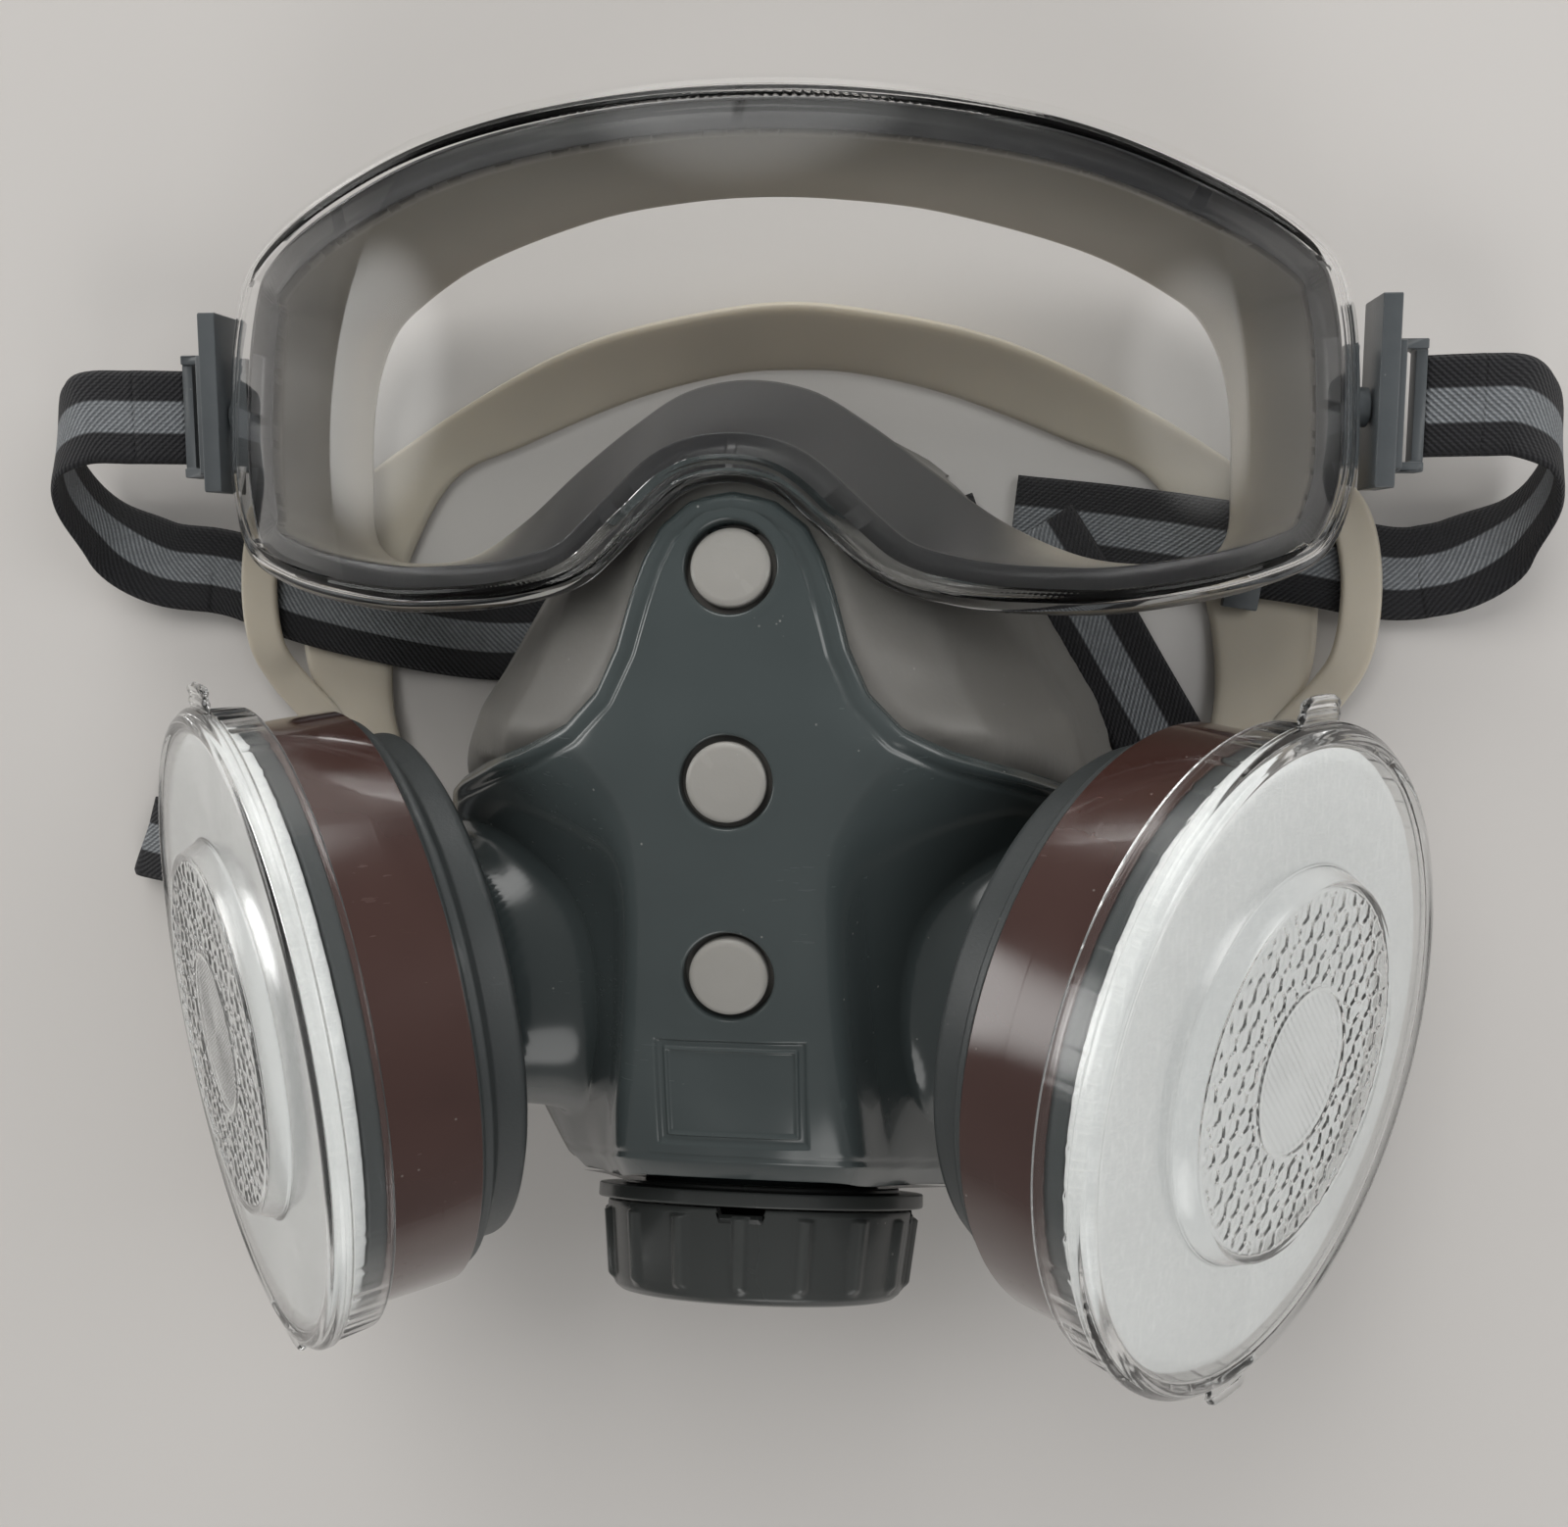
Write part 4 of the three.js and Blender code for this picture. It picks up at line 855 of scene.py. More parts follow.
def underPatches(x, y):
    # true beneath the recessed plate and the stud wells
    spare = 0.9
    under = ((np.abs(x) < plateShape["half"] + spare) & (y > plateShape["low"] - spare)
             & (y < plateShape["high"] + spare))
    for at, _ in studPlaces.values():
        under |= np.hypot(x - at[0], y - at[1]) < wellShape["cut"]
    return under


def studWell(at, tilt):
    # polar patch that starts on the surface and turns down the hole along the stud's axis
    radius, drop = np.array(wellShape["rings"]).T
    angle = np.linspace(0, 2 * np.pi, 96, endpoint=False)
    patch = surfaceAt(at[0] + radius[:, None] * np.cos(angle), at[1] + radius[:, None] * np.sin(angle))
    return upwardPatch(patch - np.array(studAxis(tilt)) * drop[:, None, None], closeColumns=True)


def recessedPlate():
    # blank plate sunk into the shell, with a raised line inside its border
    half, low, high, border = (plateShape[key] for key in ("half", "low", "high", "border"))
    x, y = np.meshgrid(np.linspace(-half - border, half + border, plateShape["columns"]),
                       np.linspace(high + border, low - border, plateShape["rows"]))
    patch = surfaceAt(x, y)
    inside = np.minimum(half - np.abs(x), np.minimum(y - low, high - y))
    relief = -plateShape["depth"] * smoothStep(inside, -0.35, 0.35) + 0.02
    relief += plateShape["line"] * bump(inside, plateShape["lineAt"], 0.45)
    return upwardPatch(patch + normalsOf(patch) * relief[..., None])


def upwardPatch(patch, **closing):
    points = patch.reshape(-1, 3)
    return points, facesToward(points, gridFaces(*patch.shape[:2], **closing), (0, 0, 1))


def chinWall():
    # flat end of the shell on the valve's plane, from its outline in to the valve hole
    t = np.linspace(-1, 1, 400)
    y = chinLine(t)
    axes, origin = valvePlace
    flat = ((maskPoints(y, t * shareOfEdge(y)) - origin) @ axes)[:, :2]
    flat = flat * (1 - 1.4 / np.linalg.norm(flat, axis=1, keepdims=True))
    loop = np.concatenate([flat, np.linspace(flat[-1], flat[0], 60)[1:-1]])
    inner = loop / np.linalg.norm(loop, axis=1, keepdims=True) * valveShape["hole"]
    rows = [loop * (1 - w) + inner * w for w in (0.0, 0.35, 0.7, 1.0)] + [inner]
    depths = [-0.02, 0.0, 0.0, 0.0, -2.4]
    grid = placed(np.stack([np.column_stack([row, np.full(len(row), depth)])
                            for row, depth in zip(rows, depths)]), valvePlace)
    points = grid.reshape(-1, 3)
    return points, facesToward(points, gridFaces(*grid.shape[:2], closeColumns=True), valveAxis)


def buildShell():
    wells = [studWell(at, tilt) for at, tilt in studPlaces.values()]
    piece = makePiece("frontShell", [shellSkin(), *wells, recessedPlate(), chinWall()], "glossyShell")
    settle(piece, "root", ["front_shell"])


def buildSeal():
    # the seal's CAD solid remeshed finely and smoothed, as a soft moulding has no sharp corners
    piece = smoothCopy("faceSeal", "face_seal", "sealRubber")
    piece.modifiers.clear()
    remesh = piece.modifiers.new("fine", "REMESH")
    remesh.mode = "VOXEL"
    remesh.voxel_size = 0.00095
    remesh.use_smooth_shade = True
    smooth = piece.modifiers.new("soft", "SMOOTH")
    smooth.factor = 0.5
    smooth.iterations = 14
    applyModifiers(piece)
    settle(piece, "root", ["face_seal"])


def applyModifiers(piece):
    # the mesh as its modifiers leave it takes the place of the plain one
    graph = bpy.context.evaluated_depsgraph_get()
    graph.update()
    finished = bpy.data.meshes.new_from_object(piece.evaluated_get(graph), depsgraph=graph)
    piece.modifiers.clear()
    piece.data = finished


studShape = {"radius": 5.5, "stem": 3, "low": -2.3, "high": 0.3, "foot": -7}


def buildStuds():
    # slightly domed head on a stem
    radius, stem, low, high, foot = studShape.values()
    profile = rounded([(0, high + 0.12), (2.5, high + 0.10), (4.9, high - 0.12), (radius, high - 0.55),
                       (radius, low), (stem, low), (stem, foot), (0, foot)], 0.45, 5)
    for name, (at, tilt) in studPlaces.items():
        part = latheParts(profile, 72, facing(at, studAxis(tilt)))
        piece = makePiece(f"shellStud.{name}", [part], "studRubber", merge=True)
        settle(piece, "root", [f"stud_{name}"])


buildShell()
buildSeal()
buildStuds()
print("mask shell, seal and studs made")

# exhalation valve

# profiles are [radius, height] from the valve's plane outwards
capShape = {
    "ribs": 16, "ribHeight": 0.95, "ribWidth": 0.055,
    "start": [(0, 15.6), (20.4, 15.6), (21.6, 14.6), (22.2, 3.6), (24.6, 3.6)],
    "wall": ((24.75, 4.2), (23.35, 15.2)),
    "end": [(22.9, 16.5), (21.9, 17.3), (20.6, 17.6), (18.6, 17.6), (18.3, 17.35), (17.9, 17.35),
            (0, 17.35)],
}
flangeProfile = [(17.5, 3.3), (17.5, 0.35), (22.4, 0.35), (22.4, 1.1), (26.3, 1.1), (26.3, 3.3), (17.5, 3.3)]


def spokeAngle(angle, count):
    # angle from the nearest of evenly spaced spokes
    return np.abs(np.mod(angle * count / (2 * np.pi) + 0.5, 1) - 0.5) * 2 * np.pi / count


def capRibs(radius, height, angle):
    # the cap's wall carries evenly spaced ribs that fade out at its rounded end, and four notches
    width = capShape["ribWidth"]
    rib = smoothStep(-spokeAngle(angle, capShape["ribs"]), -width, -width * 0.45)
    on = smoothStep(height, 4.6, 5.2) * smoothStep(-height, -16.2, -14.6) * (radius > 22.9)
    notch = (np.abs(np.mod(angle + math.pi / 4, math.pi / 2) - math.pi / 4) < 0.14) & (height < 4.4)
    return radius + capShape["ribHeight"] * rib * on, height + 1.5 * notch


def buildValve():
    flange = latheParts(rounded(flangeProfile, 0.35, 4), 160, valvePlace)
    piece = makePiece("valveFlange", [flange], "valvePlastic", merge=True)
    settle(piece, "root", ["exhalation_flange"])
    profile = np.concatenate([capShape["start"], np.linspace(*capShape["wall"], 16), capShape["end"]])
    cap = latheParts(rounded(profile, 0.3, 3), 288, valvePlace, capRibs)
    piece = makePiece("valveCap", [cap], "valvePlastic", merge=True)
    settle(piece, "exhalation_cap", ["exhalation_cap"])


buildValve()
print("exhalation valve made")

# cartridges

# radii and heights along the port axis
cartridgeShape = {"radius": 44.7, "base": 5.0, "rim": 30.5}
coverShape = {"face": 36.0, "radius": 48.8, "plateau": 27.5, "rise": 3.0, "skin": 1.1, "cell": 3.5,
              "ridge": 0.2, "fineRidge": 0.045, "ticks": 48, "tickRise": 0.28,
              "disc": 11.0, "ring": (13.2, 25.6)}
tabShape = {"half": 6.0, "from": 47.6, "reach": 4.9, "below": 1.9}


def honeycomb(x, y, cell):
    # how much farther the second nearest cell centre is than the nearest: 0 on a side of a cell
    a = np.array((1.0, 0.0)) * cell
    b = np.array((0.5, math.sqrt(3) / 2)) * cell
    far = np.full(x.shape, 1e9)
    near = far.copy()
    row = np.round(y / b[1])
    for dr in (-1, 0, 1):
        r = row + dr
        column = np.round((x - r * b[0]) / a[0])
        for dc in (-1, 0, 1):
            d = np.hypot(x - (column + dc) * a[0] - r * b[0], y - r * b[1])
            smaller = np.minimum(near, d)
            far = np.minimum(far, np.maximum(near, d))
            near = smaller
    return far - near


def coverRipple(radius, height, angle):
    # the cover's middle carries a honeycomb of broken ridges round a finely ribbed disc; its wall
    # carries thin upright ticks
    x, y = radius * np.cos(angle), radius * np.sin(angle)
    side = smoothStep(-honeycomb(x, y, coverShape["cell"]), -0.75, -0.2)
    broken = smoothStep(np.sin(x * 1.1 + 0.7 * np.sin(y)) * np.sin(y * 1.3), -0.75, -0.35)
    inner, outer = coverShape["ring"]
    ring = smoothStep(radius, inner - 0.6, inner) * smoothStep(-radius, -outer - 0.6, -outer)
    fine = 0.5 + 0.5 * np.sin((x + y) * 4.2)
    disc = smoothStep(-radius, -coverShape["disc"] - 0.6, -coverShape["disc"])
    border = bump(radius, coverShape["disc"] + 1.2, 0.6)
    raised = coverShape["ridge"] * (side * broken * ring + border) + coverShape["fineRidge"] * fine * disc
    raised = raised * (height > coverShape["face"] + 2.5)
    tick = smoothStep(-spokeAngle(angle, coverShape["ticks"]), -0.012, -0.006)
    tick = tick * (radius > 47.3) * smoothStep(height, 28.2, 28.8) * (height < 33)
    return radius + coverShape["tickRise"] * tick, height + raised


def pullTab(sign, place):
    # upper and lower face of a flat rounded tongue that thickens to a bead at its end
    u, v = np.meshgrid(np.linspace(-1, 1, 25), np.linspace(0, 1, 14), indexing="ij")
    x = u * tabShape["half"] * (1 - 0.25 * v ** 3)
    y = sign * (tabShape["from"] + tabShape["reach"] * v * (1 - 0.12 * u ** 4))
    thick = 0.5 + 0.35 * smoothStep(v, 0.7, 0.95) + 0.12 * np.sin(v * 18)
    roundSides = np.sqrt(np.clip(1.0 - np.abs(u) ** 14, 0.02, 1))
    roundEnd = np.sqrt(np.clip(1.02 - v ** 18, 0.02, 1))
    thick = thick * roundSides * roundEnd
    parts = []
    for way in (-1, 1):
        local = np.stack([x, y, coverShape["face"] - tabShape["below"] + way * thick], axis=-1)
        points = placed(local, place).reshape(-1, 3)
        parts.append((points, facesToward(points, gridFaces(*u.shape), way * place[0][:, 2])))
    return parts


def buildCover(side, place):
    # raised middle, flat ring, beaded rim and snap wall, then back along the inner face
    face, r, plateau, rise, skin = (coverShape[key] for key in ("face", "radius", "plateau", "rise", "skin"))
    middle = np.linspace((0, face + rise), (plateau - 0.5, face + rise), 92)
    flat = np.linspace((30, face), (r - 3.2, face), 10)
    outer = rounded([(plateau, face + rise), (29, face), *flat, (r - 2.2, face + 0.45),
                     (r - 1.2, face + 0.3), (r, face - 1.0), (r, face - 2.4), (r - 0.8, face - 2.7),
                     (r - 0.9, face - 8.5),
                     (46.5, face - 8.5), (46.7, face - 2), (46.2, face - skin), (28.3, face - skin),
                     (26.7, face + rise - skin)], 0.4, 4)
    inner = np.linspace((26, face + rise - skin), (0, face + rise - skin), 4)
    part = latheParts(np.concatenate([middle, outer, inner]), 432, place, coverRipple)
    tabs = pullTab(-1, place) + pullTab(1, place)
    piece = makePiece(f"clearCover.{side}", [part, *tabs], "clearCover", merge=True)
    settle(piece, f"{side}_cover", [f"{side}_clear_cover"])


def padRipple(radius, height, angle):
    # the pad swells slightly, and its cut edge wanders and frays
    wander = 0.14 * np.sin(5 * angle + 1.3) + 0.1 * np.sin(11 * angle)
    wander = wander + 0.05 * np.sin(37 * angle + height * 3)
    edge = smoothStep(radius, 40, 45)
    swell = 0.12 * np.sin(radius * 0.35 + 2 * np.cos(angle)) * smoothStep(height, 33, 34)
    return radius + wander * edge, height + swell


padProfile = rounded([(0, 34.45), (20, 34.5), (38, 34.45), (43.8, 34.2), (45.5, 33.2), (45.7, 32.0),
                      (45.3, 30.9), (43, 30.8), (0, 30.8)], 0.8, 5)


def buildPad(side, place):
    part = latheParts(padProfile, 200, place, padRipple)
    piece = makePiece(f"prefilterPad.{side}", [part], "cottonPad", merge=True)
    settle(piece, f"{side}_cartridge", [f"{side}_prefilter_pad"])


def wrinkle(radius, height, angle):
    # the film lifts a little along its overlap and wanders where it was stuck down
    lap = 0.16 * smoothStep(np.abs(np.mod(angle, 2 * np.pi) - 4.4), 0.05, 0.02)
    return radius + lap + 0.03 * np.sin(height * 0.9 + 3 * np.sin(2 * angle)), height


def buildCase(side, place):
    # neck, stepped base and cup wall, then the film round the cup
    r, b, rim = cartridgeShape["radius"], cartridgeShape["base"], cartridgeShape["rim"]
    body = rounded([(11, -2.6), (13.2, -2.6), (13.2, b), (38.6, b), (40.4, b + 1.0), (40.6, b + 1.6),
                    (40.6, b + 5.4), (41.2, b + 5.8), (r - 0.9, b + 7.2), (r - 0.9, b + 8.5), (r, b + 8.9),
                    (r, b + 13), (r, rim - 3), (r, rim), (r - 2, rim), (r - 2, b + 9.6), (39, b + 2.4),
                    (11, b + 2.4), (11, -2.6)], 0.4, 4)
    piece = makePiece(f"cartridgeCase.{side}", [latheParts(body, 240, place)], "casePlastic", merge=True)
    settle(piece, f"{side}_cartridge", [f"{side}_cartridge_case"])
    band = rounded([(r + 0.08, b + 9.3), (r + 0.5, b + 9.3), (r + 0.5, b + 15), (r + 0.5, rim - 2.5),
                    (r + 0.08, rim - 2.5), (r + 0.08, b + 9.3)], 0.12, 3)
    piece = makePiece(f"labelBand.{side}", [latheParts(band, 360, place, wrinkle)], "labelFilm", merge=True)
    settle(piece, f"{side}_cartridge", [f"{side}_cartridge_label"])


ringProfile = rounded([(14.1, 0), (21.4, 0), (21.4, 1.2), (21.4, 2.5), (20.6, 3.2), (18, 3.2), (17.6, 2.9),
                       (14.1, 2.9), (14.1, 0)], 0.25, 3)


def knurl(radius, height, angle):
    # the ring's outer wall is knurled with shallow upright ribs
    wave = 0.5 + 0.5 * np.cos(angle * 60)
    on = (radius > 20.9) * smoothStep(height, 0.3, 0.6) * smoothStep(-height, -2.5, -2.2)
    return radius + 0.35 * (wave - 1) * on, height


def buildPortRing(side, place):
    part = latheParts(ringProfile, 300, place, knurl)
    piece = makePiece(f"portRing.{side}", [part], "ringRubber", merge=True)
    settle(piece, "root", [f"{side}_port_ring"])


for side, place in portPlaces.items():
    buildPortRing(side, place)
    buildCase(side, place)
    buildPad(side, place)
    buildCover(side, place)
print("cartridges made")

# goggles

lensShape = {
    "bend": 109.0, "fall": 95.0, "crown": 82.0, "wall": 2.2, "columns": 420,
    # lens edge (x, y) and the rear rim (x, y, z) beside it, right half
    "edge": [((0, 40), (0, 55.5, 58)), ((6.2, 38.6), (9, 54, 57.5)), ((12.5, 33.4), (17, 49.5, 56)),
             ((20.6, 26.6), (26, 43, 54)), ((29.8, 23.6), (36, 36, 47)), ((42, 22.3), (49, 30.5, 32)),
             ((55, 22.4), (60, 29, 19)), ((75, 25.8), (71.5, 29.5, 8.5)), ((86.4, 30.4), (75.5, 33.5, 7)),
             ((91.6, 40.4), (76, 43, 6.6)), ((92.2, 55), (75.4, 55, 6.6)), ((91, 68), (73, 64, 7.6)),
             ((88, 75.6), (69, 70, 10)), ((81, 80), (63, 73.6, 14)), ((66, 85.4), (50, 78.4, 23)),
             ((45.4, 91), (28, 82.4, 36)), ((20, 94.2), (12, 83.4, 43)), ((0, 95), (0, 83.6, 45))],
}


def lensHeight(x, y):
    # the lens bends on a cylinder across the face and on a parabola from brow to nose
    across = lensShape["bend"] - np.sqrt(lensShape["bend"] ** 2 - x * x)
    return lensShape["crown"] - across - (y - 45) ** 2 / (2 * lensShape["fall"])


def edgeLoops(count):
    # lens edge and rear rim as smooth closed loops whose points stay beside each other
    half = np.array([[*lens, *rear] for lens, rear in lensShape["edge"]], float)
    left = half[1:-1][::-1] * (-1, 1, -1, 1, 1)
    both = loopThrough(np.concatenate([half, left]), count)
    return both[:, :2], both[:, 2:]


def outwardOf(loop):
    # unit directions square to a closed loop in the XY plane, pointing away from its middle
    ahead = np.roll(loop, -1, axis=0) - np.roll(loop, 1, axis=0)
    normal = np.stack([ahead[:, 1], -ahead[:, 0]], axis=1)[:, :2]
    normal /= np.linalg.norm(normal, axis=1, keepdims=True)
    outward = ((loop[:, :2] - loop[:, :2].mean(axis=0)) * normal).sum()
    return normal if outward > 0 else -normal


# rings of the lens in from its edge: raised line and rounded corner as (inset, lift), then the skirt
# and its inner face as (inset, drop)
lensRims = {
    "corner": [(3.6, 0), (3.1, 0.02), (2.8, 0.28), (2.5, 0.3), (2.2, 0.04), (1.6, 0), (0.9, -0.02),
               (0.45, -0.16), (0.15, -0.45), (0.0, -0.9)],
    "skirt": [(0, 2.0), (0, 3.2), (0, 4.3), (0.3, 4.6), (1.6, 4.6), (1.9, 4.3), (1.9, 3.2),
              (2.1, lensShape["wall"] + 0.3), (2.6, lensShape["wall"])],
}


def buildLens():
    # outer face from the middle to the edge, down the skirt, and back along the inner face
    edge, _ = edgeLoops(lensShape["columns"])
    normal = outwardOf(edge)
    middle = np.array((0, 60.0))

    def ring(share, inset, lift):
        place = middle + share * (edge - middle) - normal * inset
        return np.column_stack([place, lensHeight(place[:, 0], place[:, 1]) + lift])

    rings = [ring(share, 0, 0) for share in np.linspace(0, 0.955, 44)]
    rings += [ring(1, inset, lift) for inset, lift in lensRims["corner"]]
    rings += [ring(1, inset, -drop) for inset, drop in lensRims["skirt"]]
    rings += [ring(share, 0, -lensShape["wall"]) for share in np.linspace(0.95, 0, 30)]
    grid = np.stack(rings)
    points = grid.reshape(-1, 3)
    faces = outwardFaces(points, gridFaces(*grid.shape[:2], closeColumns=True))
    piece = makePiece("goggleLens", [(points, faces)], "clearLens", merge=True)
    settle(piece, "goggles", ["goggle_lens"])


# distances outwards from the lens's edge and the rear rim, and heights below the lens and over the rim
frameShape = {"points": 360, "behind": 2.9, "outer": -2.4, "inner": -6.6, "lipOut": 5.6, "lip": 1.6,
              "wallRows": {1: 10, 5: 12}}


def buildFrame():
    # section at each point of the edge: channel behind the lens, skirt and rear lip, as a smooth loop
    edge, rear = edgeLoops(frameShape["points"])
    outLens, outRear = outwardOf(edge), outwardOf(rear)
    top = lensHeight(edge[:, 0], edge[:, 1]) - frameShape["behind"]
    outer, inner, lipOut, lip = (frameShape[key] for key in ("outer", "inner", "lipOut", "lip"))

    def lensPoint(out, z):
        return np.column_stack([edge + outLens * out, z])

    def rearPoint(out, z):
        return np.column_stack([rear[:, :2] + outRear * out, z])

    corners = np.stack([
        lensPoint(outer, top - 1), lensPoint(outer, top - 6), rearPoint(2.2, rear[:, 2] + 1.8),
        rearPoint(lipOut, rear[:, 2] + lip), rearPoint(lipOut, rear[:, 2]), rearPoint(0, rear[:, 2]),
        lensPoint(inner, top - 5), lensPoint(inner, top - 1)])
    # each corner is held by close rows on both sides of it
    rows = []
    for k in range(8):
        here, before, after = corners[k], corners[k - 1], corners[(k + 1) % 8]
        gapBefore, gapAfter = (np.linalg.norm(other - here, axis=1, keepdims=True)
                               for other in (before, after))
        for w in (0.12, 0.06, 0.0):
            rows.append(here + (before - here) * np.minimum(w, 10 * w / gapBefore))
        rows.append(here + (after - here) * np.minimum(0.06, 0.6 / gapAfter))
        steps = frameShape["wallRows"].get(k, 2)      # the two long walls have more rows
        rows.extend(here * (1 - w) + after * w for w in np.linspace(0.1, 0.9, steps))
    grid = np.stack(rows)
    points = grid.reshape(-1, 3)
    faces = outwardFaces(points, gridFaces(*grid.shape[:2], closeRows=True, closeColumns=True))
    # shade: dark near the lens and over the nose, pale towards the rear rim at the sides and brow
    depth = (top - grid[..., 2]) / np.maximum(top - rear[:, 2], 1)
    pale = 0.5 * smoothStep(depth, 0.04, 0.22) + 0.5 * smoothStep(depth, 0.2, 1.0)
    nose = smoothStep(-grid[..., 1], -64, -58) * smoothStep(-np.abs(grid[..., 0]), -50, -34)
    sideDark = 0.45 * smoothStep(np.abs(grid[..., 0]), 60, 84)
    pale = pale * (1 - nose) * (1 - sideDark * (1 - smoothStep(depth, 0.6, 0.95)))
    piece = makePiece("goggleFrame", [(points, faces)], "frameVinyl", shade=pale.reshape(-1))
    settle(piece, "goggles", ["goggle_frame"])


buildLens()
buildFrame()
for side in ("left", "right"):
    settle(smoothCopy(f"clipStud.{side}", f"{side}_clip_stud", "clipPlastic", 0.3), "goggles",
           [f"{side}_clip_stud"])
    settle(smoothCopy(f"strapClip.{side}", f"{side}_strap_clip", "clipPlastic", 0.4, 3), f"{side}_clip",
           [f"{side}_strap_clip"])
print("goggles made")

# straps and cradle

strapShape = {"width": 16.0, "wall": 1.4, "step": 0.9, "across": 19}


def ribbonRows(path, width, along, wide, wall):
    # flat strap along a curve: a crowned section with round edges, its width turning between the
    # given directions; also the strip map, U in millimetres along and V across
    centre = curveThrough(path, along)
    ahead = np.gradient(centre, axis=0)
    run = np.concatenate([[0], np.cumsum(np.linalg.norm(np.diff(centre, axis=0), axis=1))])
    ahead /= np.linalg.norm(ahead, axis=1, keepdims=True)
    side = curveThrough(width, along)
    side -= ahead * (side * ahead).sum(axis=1, keepdims=True)
    side /= np.linalg.norm(side, axis=1, keepdims=True)
    face = np.cross(ahead, side)
    a = np.linspace(-1, 1, strapShape["across"])
    edge = np.sqrt(np.clip(1 - np.abs(a) ** 10, 0, 1))
    v = np.concatenate([a, a[::-1][1:-1]])
    f = np.concatenate([edge, -edge[::-1][1:-1]])
    grid = (centre[:, None] + side[:, None] * (v * wide / 2)[None, :, None]
            + face[:, None] * (f * wall / 2)[None, :, None])
    strip = np.stack(np.broadcast_arrays(run[:, None], v[None, :] / 2), axis=-1)
    return grid, strip


def ribbonPiece(name, path, width):
    # strap with a row of points at each step of its length
    path, width = np.asarray(path, float), np.asarray(width, float)
    length = np.linalg.norm(np.diff(path, axis=0), axis=1).sum()
    count = max(int(length / strapShape["step"]), 8)
    grid, strip = ribbonRows(path, width, np.linspace(0, 1, count), strapShape["width"], strapShape["wall"])
    strip = np.concatenate([strip[:1], strip, strip[-1:]])
    return makePiece(name, [closedTube(grid)], "strapWebbing", merge=True, strip=strip.reshape(-1, 2))


def closedTube(grid):
    # tube of rows whose two ends close on the middle of their own row
    ends = [np.repeat(grid[k].mean(axis=0)[None, None], grid.shape[1], axis=1) for k in (0, -1)]
    grid = np.concatenate([ends[0], grid, ends[1]])
    points = grid.reshape(-1, 3)
    return points, outwardRibbon(points, gridFaces(*grid.shape[:2], closeColumns=True))


def outwardRibbon(points, faces):
    # signed volume of the closed strip says which way its faces point
    corner = points[faces] - points.mean(axis=0)
    volume = (np.cross(corner[:, 0], corner[:, 1]) * corner[:, 2]).sum()
    volume += (np.cross(corner[:, 0], corner[:, 2]) * corner[:, 3]).sum()
    return faces if volume > 0 else faces[:, ::-1]


def mirrored(sign, points):
    return [(sign * x, y, z) for x, y, z in points]


runHeight = 4.4      # middle of the straps that lie over the cradle
strapRoutes = {
    # centre of each strap, with the direction of its width at each point, right side or as it lies
    "end": [((103.9, 54, 22.1), (0, 1, 0)), ((108, 54, 23.4), (0, 1, 0)), ((112.4, 54, 24.38), (0, 1, 0))],
    "goggle_strap_left": [
        ((-110.2, 27.6, 4.5), (0.15, 1, 0)), ((-108.6, 27.37, runHeight), (0.15, 1, 0)),
        ((-104, 26.4, runHeight), (0.2, 1, 0)), ((-92, 22, runHeight), (0.2, 1, 0)),
        ((-76, 18.2, runHeight), (0.15, 1, 0)), ((-62, 15.6, 2.4), (0.1, 1, 0)), ((-52, 15, 1.3), (0, 1, 0)),
        ((-30, 17, 1.3), (-0.1, 1, 0)), ((10, 25, 1.3), (-0.2, 1, 0)), ((35, 34, 1.3), (-0.25, 1, 0))],
    "goggle_strap_right": [
        (place, (0.147, 1, 0)) for place in (
            (110.4, 27.75, 4.5), (108.6, 27.37, runHeight), (104, 27.3, runHeight), (91, 29.7, runHeight),
            (74, 32.2, runHeight), (66, 33.4, runHeight), (62.5, 33.9, 3.2), (56.5, 34.8, 1.3),
            (39.5, 36.6, 1.3))],
    "neck_strap_right": [
        (place, (0.855, 0.518, 0)) for place in (
            (43, 35, 3.2), (48.5, 26.5, 3.9), (53, 19.8, 3.2), (59, 9.9, 1.2), (64.1, 1.4, 1.2),
            (71, -10, 1.2), (78, -20, 1.2), (82.5, -26.4, 1.2))],
    "neck_strap_left": [
        (place, (0.42, 1, 0)) for place in (
            (-76, -27.4, 5.2), (-100, -26.3, 5.2), (-119.4, -24.4, 5.2), (-125.2, -23.7, 3.2),
            (-119.4, -24.4, 1.2), (-100, -26.3, 1.2), (-84, -27.2, 1.2))],
}
loopReaches = {"left": (-1, 131), "right": (1, 127)}


def loopRoute(reach):
    # from the clip out to the reach, and round and down to the strap that lies on the table
    return [((112.2, 54, 24.34), (0, 1, 0)), ((reach - 9, 53.7, 24.6), (0.1, 1, -0.1)),
            ((reach - 2.4, 50, 20.5), (0.1, 0.9, -0.4)), ((reach, 42.5, 14), (0.1, 0.8, -0.55)),
            ((reach - 3.4, 34.5, 7.6), (0.2, 0.9, -0.4)), ((reach - 12, 28.9, 5), (0.15, 1, -0.1)),
            ((108.8, 27.4, runHeight), (0.1, 1, 0))]


def buildLoops():
    # each end stretches between clip and goggles, each loop between goggles and the resting strap
    for side, (sign, reach) in loopReaches.items():
        path, width = (mirrored(sign, run) for run in zip(*strapRoutes["end"]))
        piece = ribbonPiece(f"strapEnd.{side}", path, width)
        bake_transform(piece)
        settle(piece, None, [f"{side}_strap_end"])
        path, width = (mirrored(sign, run) for run in zip(*loopRoute(reach)))
        piece = ribbonPiece(f"strapLoop.{side}", path, width)
        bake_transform(piece)
        settle(piece, None, [f"{side}_strap_loop"])


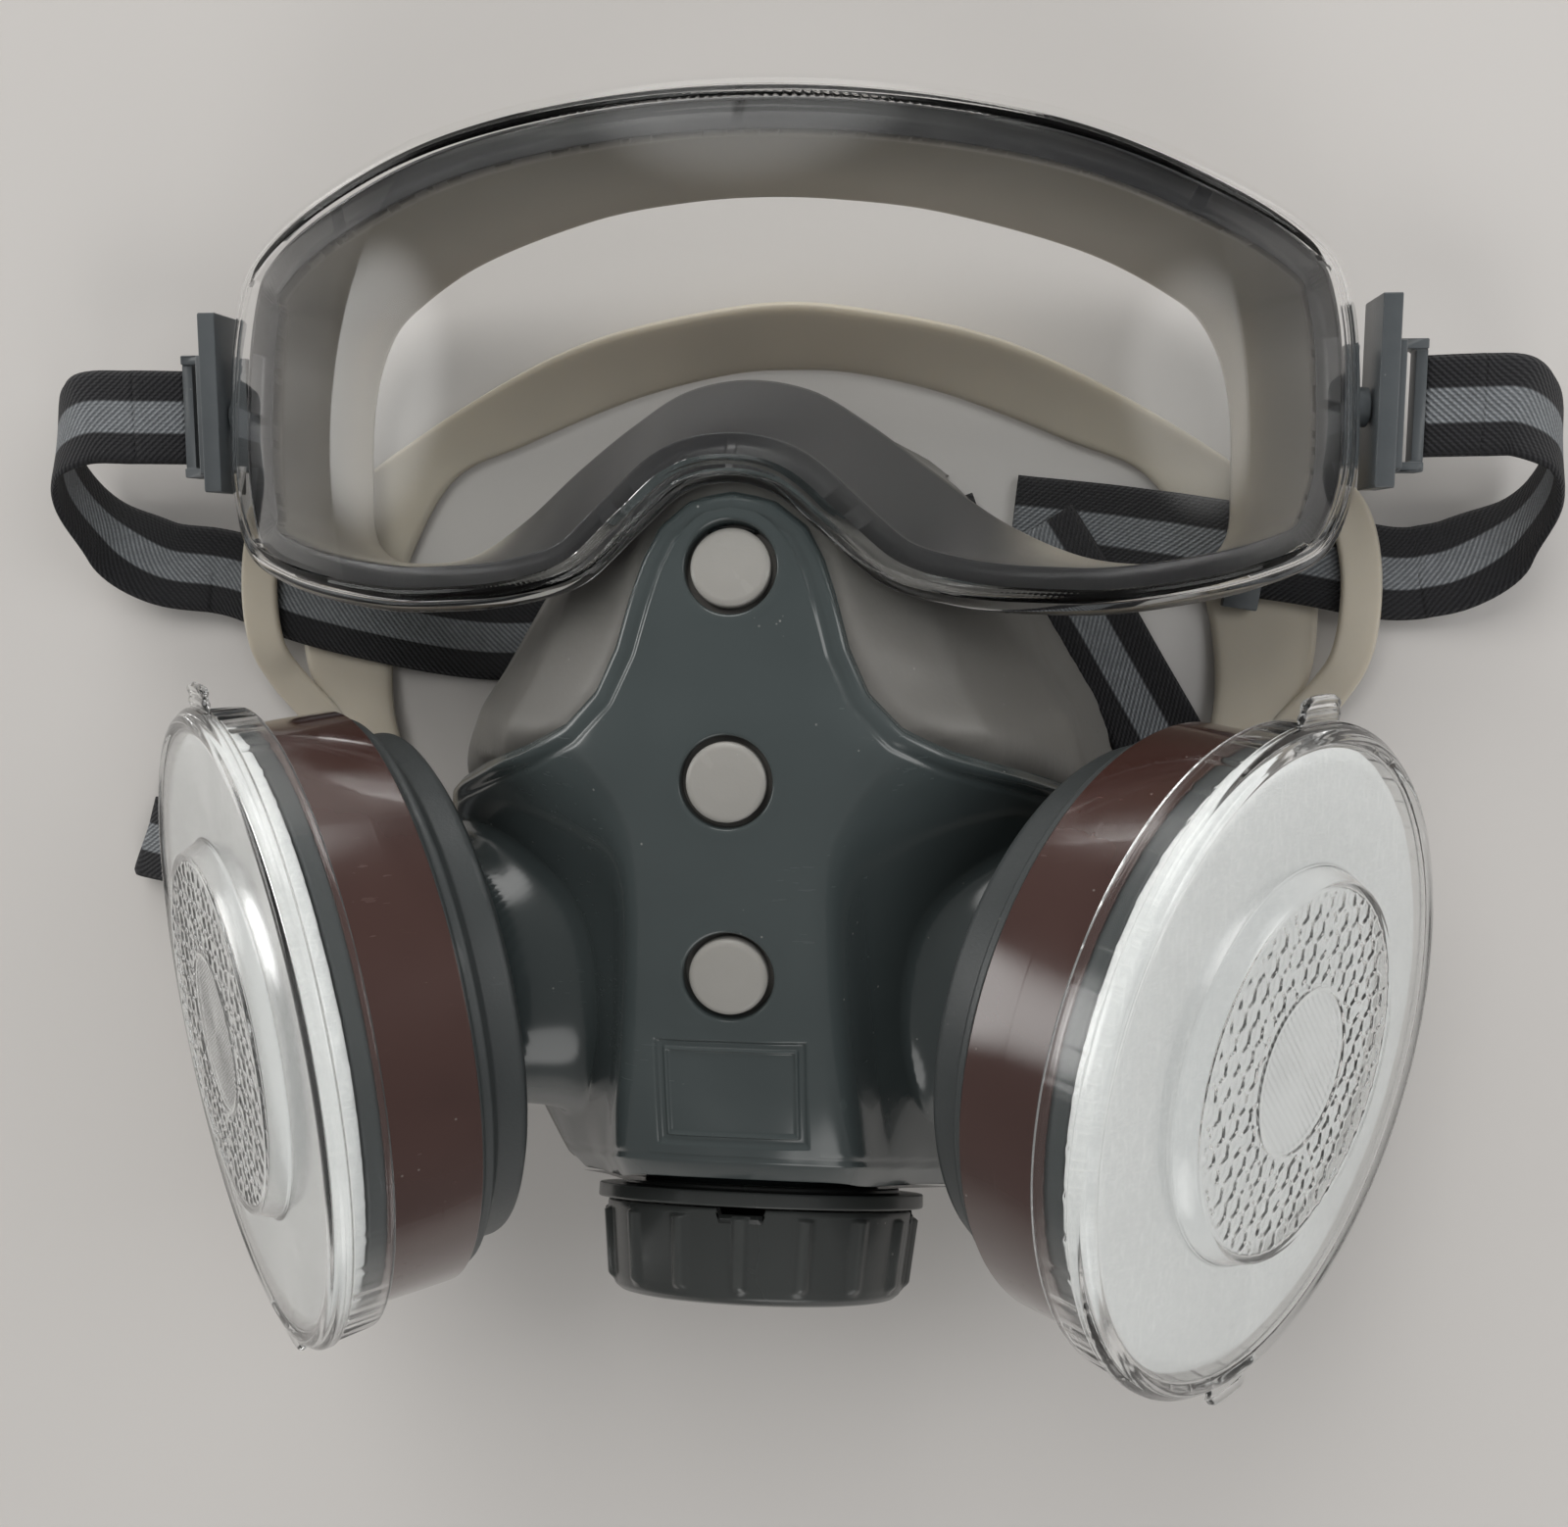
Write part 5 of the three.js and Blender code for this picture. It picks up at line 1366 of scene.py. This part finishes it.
def buildRuns():
    for name in ("goggleStrap.left", "goggleStrap.right", "neckStrap.right", "neckStrap.left"):
        node = name.replace("Strap.", "_strap_")
        piece = ribbonPiece(name, *zip(*strapRoutes[node]))
        settle(piece, "root", [node])


cradleShape = {
    "wall": 1.8,
    # outer and inner edge of the right half, from the mask's side to the crown
    "edges": [((78, -30, 2.3), (66.5, -30, 2.3)), ((81, -16, 2.3), (70, -16, 2.3)),
              ((86, -2, 2.3), (74.5, -2, 2.3)), ((92, 8, 1.2), (75.5, 8, 1.2)),
              ((93.5, 20, 0.4), (74, 20, 0.4)), ((92.5, 31, 0.4), (70.5, 31, 0.4)),
              ((82, 43, 0.4), (62.5, 44, 0.4)), ((62, 56, 4), (48, 51, 0.4)),
              ((37, 67.5, 9), (27, 59.5, 0.4)), ((15, 72.5, 11), (10, 63.5, 0.4)),
              ((0, 74, 11.4), (0, 64, 0.4))],
    "bridge": [(87, -2, 3.2), (95, 7, 4.6), (98.2, 14, 6.6), (98.8, 29, 6.8), (95.6, 38.6, 6.8),
               (88.4, 44.4, 4.4), (79, 47.2, 1.8)],
    "bridgeWidth": [(0.8, -0.6, 0), (0.9, -0.4, 0), (1, 0, 0), (1, 0, 0), (0.9, 0.3, 0), (0.7, 0.7, 0),
                    (0.6, 0.8, 0)],
    "bridgeWide": 7,
}


def buildCradle():
    # band between two edge curves, with rounded edges and a slight crown across it
    half = np.array(cradleShape["edges"], float).reshape(len(cradleShape["edges"]), 6)
    left = half[:-1] * (-1, 1, 1, -1, 1, 1)
    spans = curveThrough(np.concatenate([half, left[::-1]]), np.linspace(0, 1, 420))
    outer, inner = spans[:, :3], spans[:, 3:]
    run = np.gradient(inner, axis=0)
    lift = np.cross(run, outer - inner)
    lift /= np.linalg.norm(lift, axis=1, keepdims=True)
    lift *= np.where(lift[:, 2:] < 0, -1, 1) * cradleShape["wall"]
    a = np.linspace(0.02, 0.98, 15)
    bulge = 0.5 * np.sqrt(np.clip(1 - np.abs(2 * a - 1) ** 8, 0.0, 1))
    v = np.concatenate([a, a[::-1]])
    f = np.concatenate([0.5 + bulge, 0.5 - bulge[::-1]])
    grid = (outer[:, None] * (1 - v)[None, :, None] + inner[:, None] * v[None, :, None]
            + lift[:, None] * f[None, :, None])
    parts = [closedTube(grid)]
    for sign in (-1, 1):
        path = np.array(mirrored(sign, cradleShape["bridge"]))
        width = np.array(mirrored(sign, cradleShape["bridgeWidth"]))
        grid, _ = ribbonRows(path, width, np.linspace(0, 1, 90), cradleShape["bridgeWide"],
                             cradleShape["wall"])
        parts.append(closedTube(grid))
    piece = makePiece("headCradle", parts, "cradleRubber", merge=True)
    settle(piece, "root", ["head_cradle"])


buildLoops()
buildRuns()
buildCradle()
settle(smoothCopy("strapSlider", "strap_slider", "clipPlastic", 0.3), "strap_slider", ["strap_slider"])
for side in ("left", "right"):
    settle(smoothCopy(f"harnessHook.{side}", f"{side}_harness_hook", "clipPlastic", 0.4), "root",
           [f"{side}_harness_hook"])
print("straps and cradle made")

# inner parts keep their CAD shape

innerFinishes = {"exhalation_seat": "valvePlastic", "exhalation_flap": "flapSilicone"}
for side in ("left", "right"):
    innerFinishes.update({f"{side}_port_gasket": "gasketRubber", f"{side}_inhalation_seat": "valvePlastic",
                          f"{side}_inhalation_flap": "flapSilicone", f"{side}_carbon_bed": "carbonGrains",
                          f"{side}_retaining_grid": "casePlastic"})
for node, finish in innerFinishes.items():
    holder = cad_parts[node]
    if not holder.material_slots:
        holder.data.materials.append(finishes[finish])
    for slot in holder.material_slots:
        slot.material = finishes[finish]

bpy.context.view_layer.update()
print("scene made")
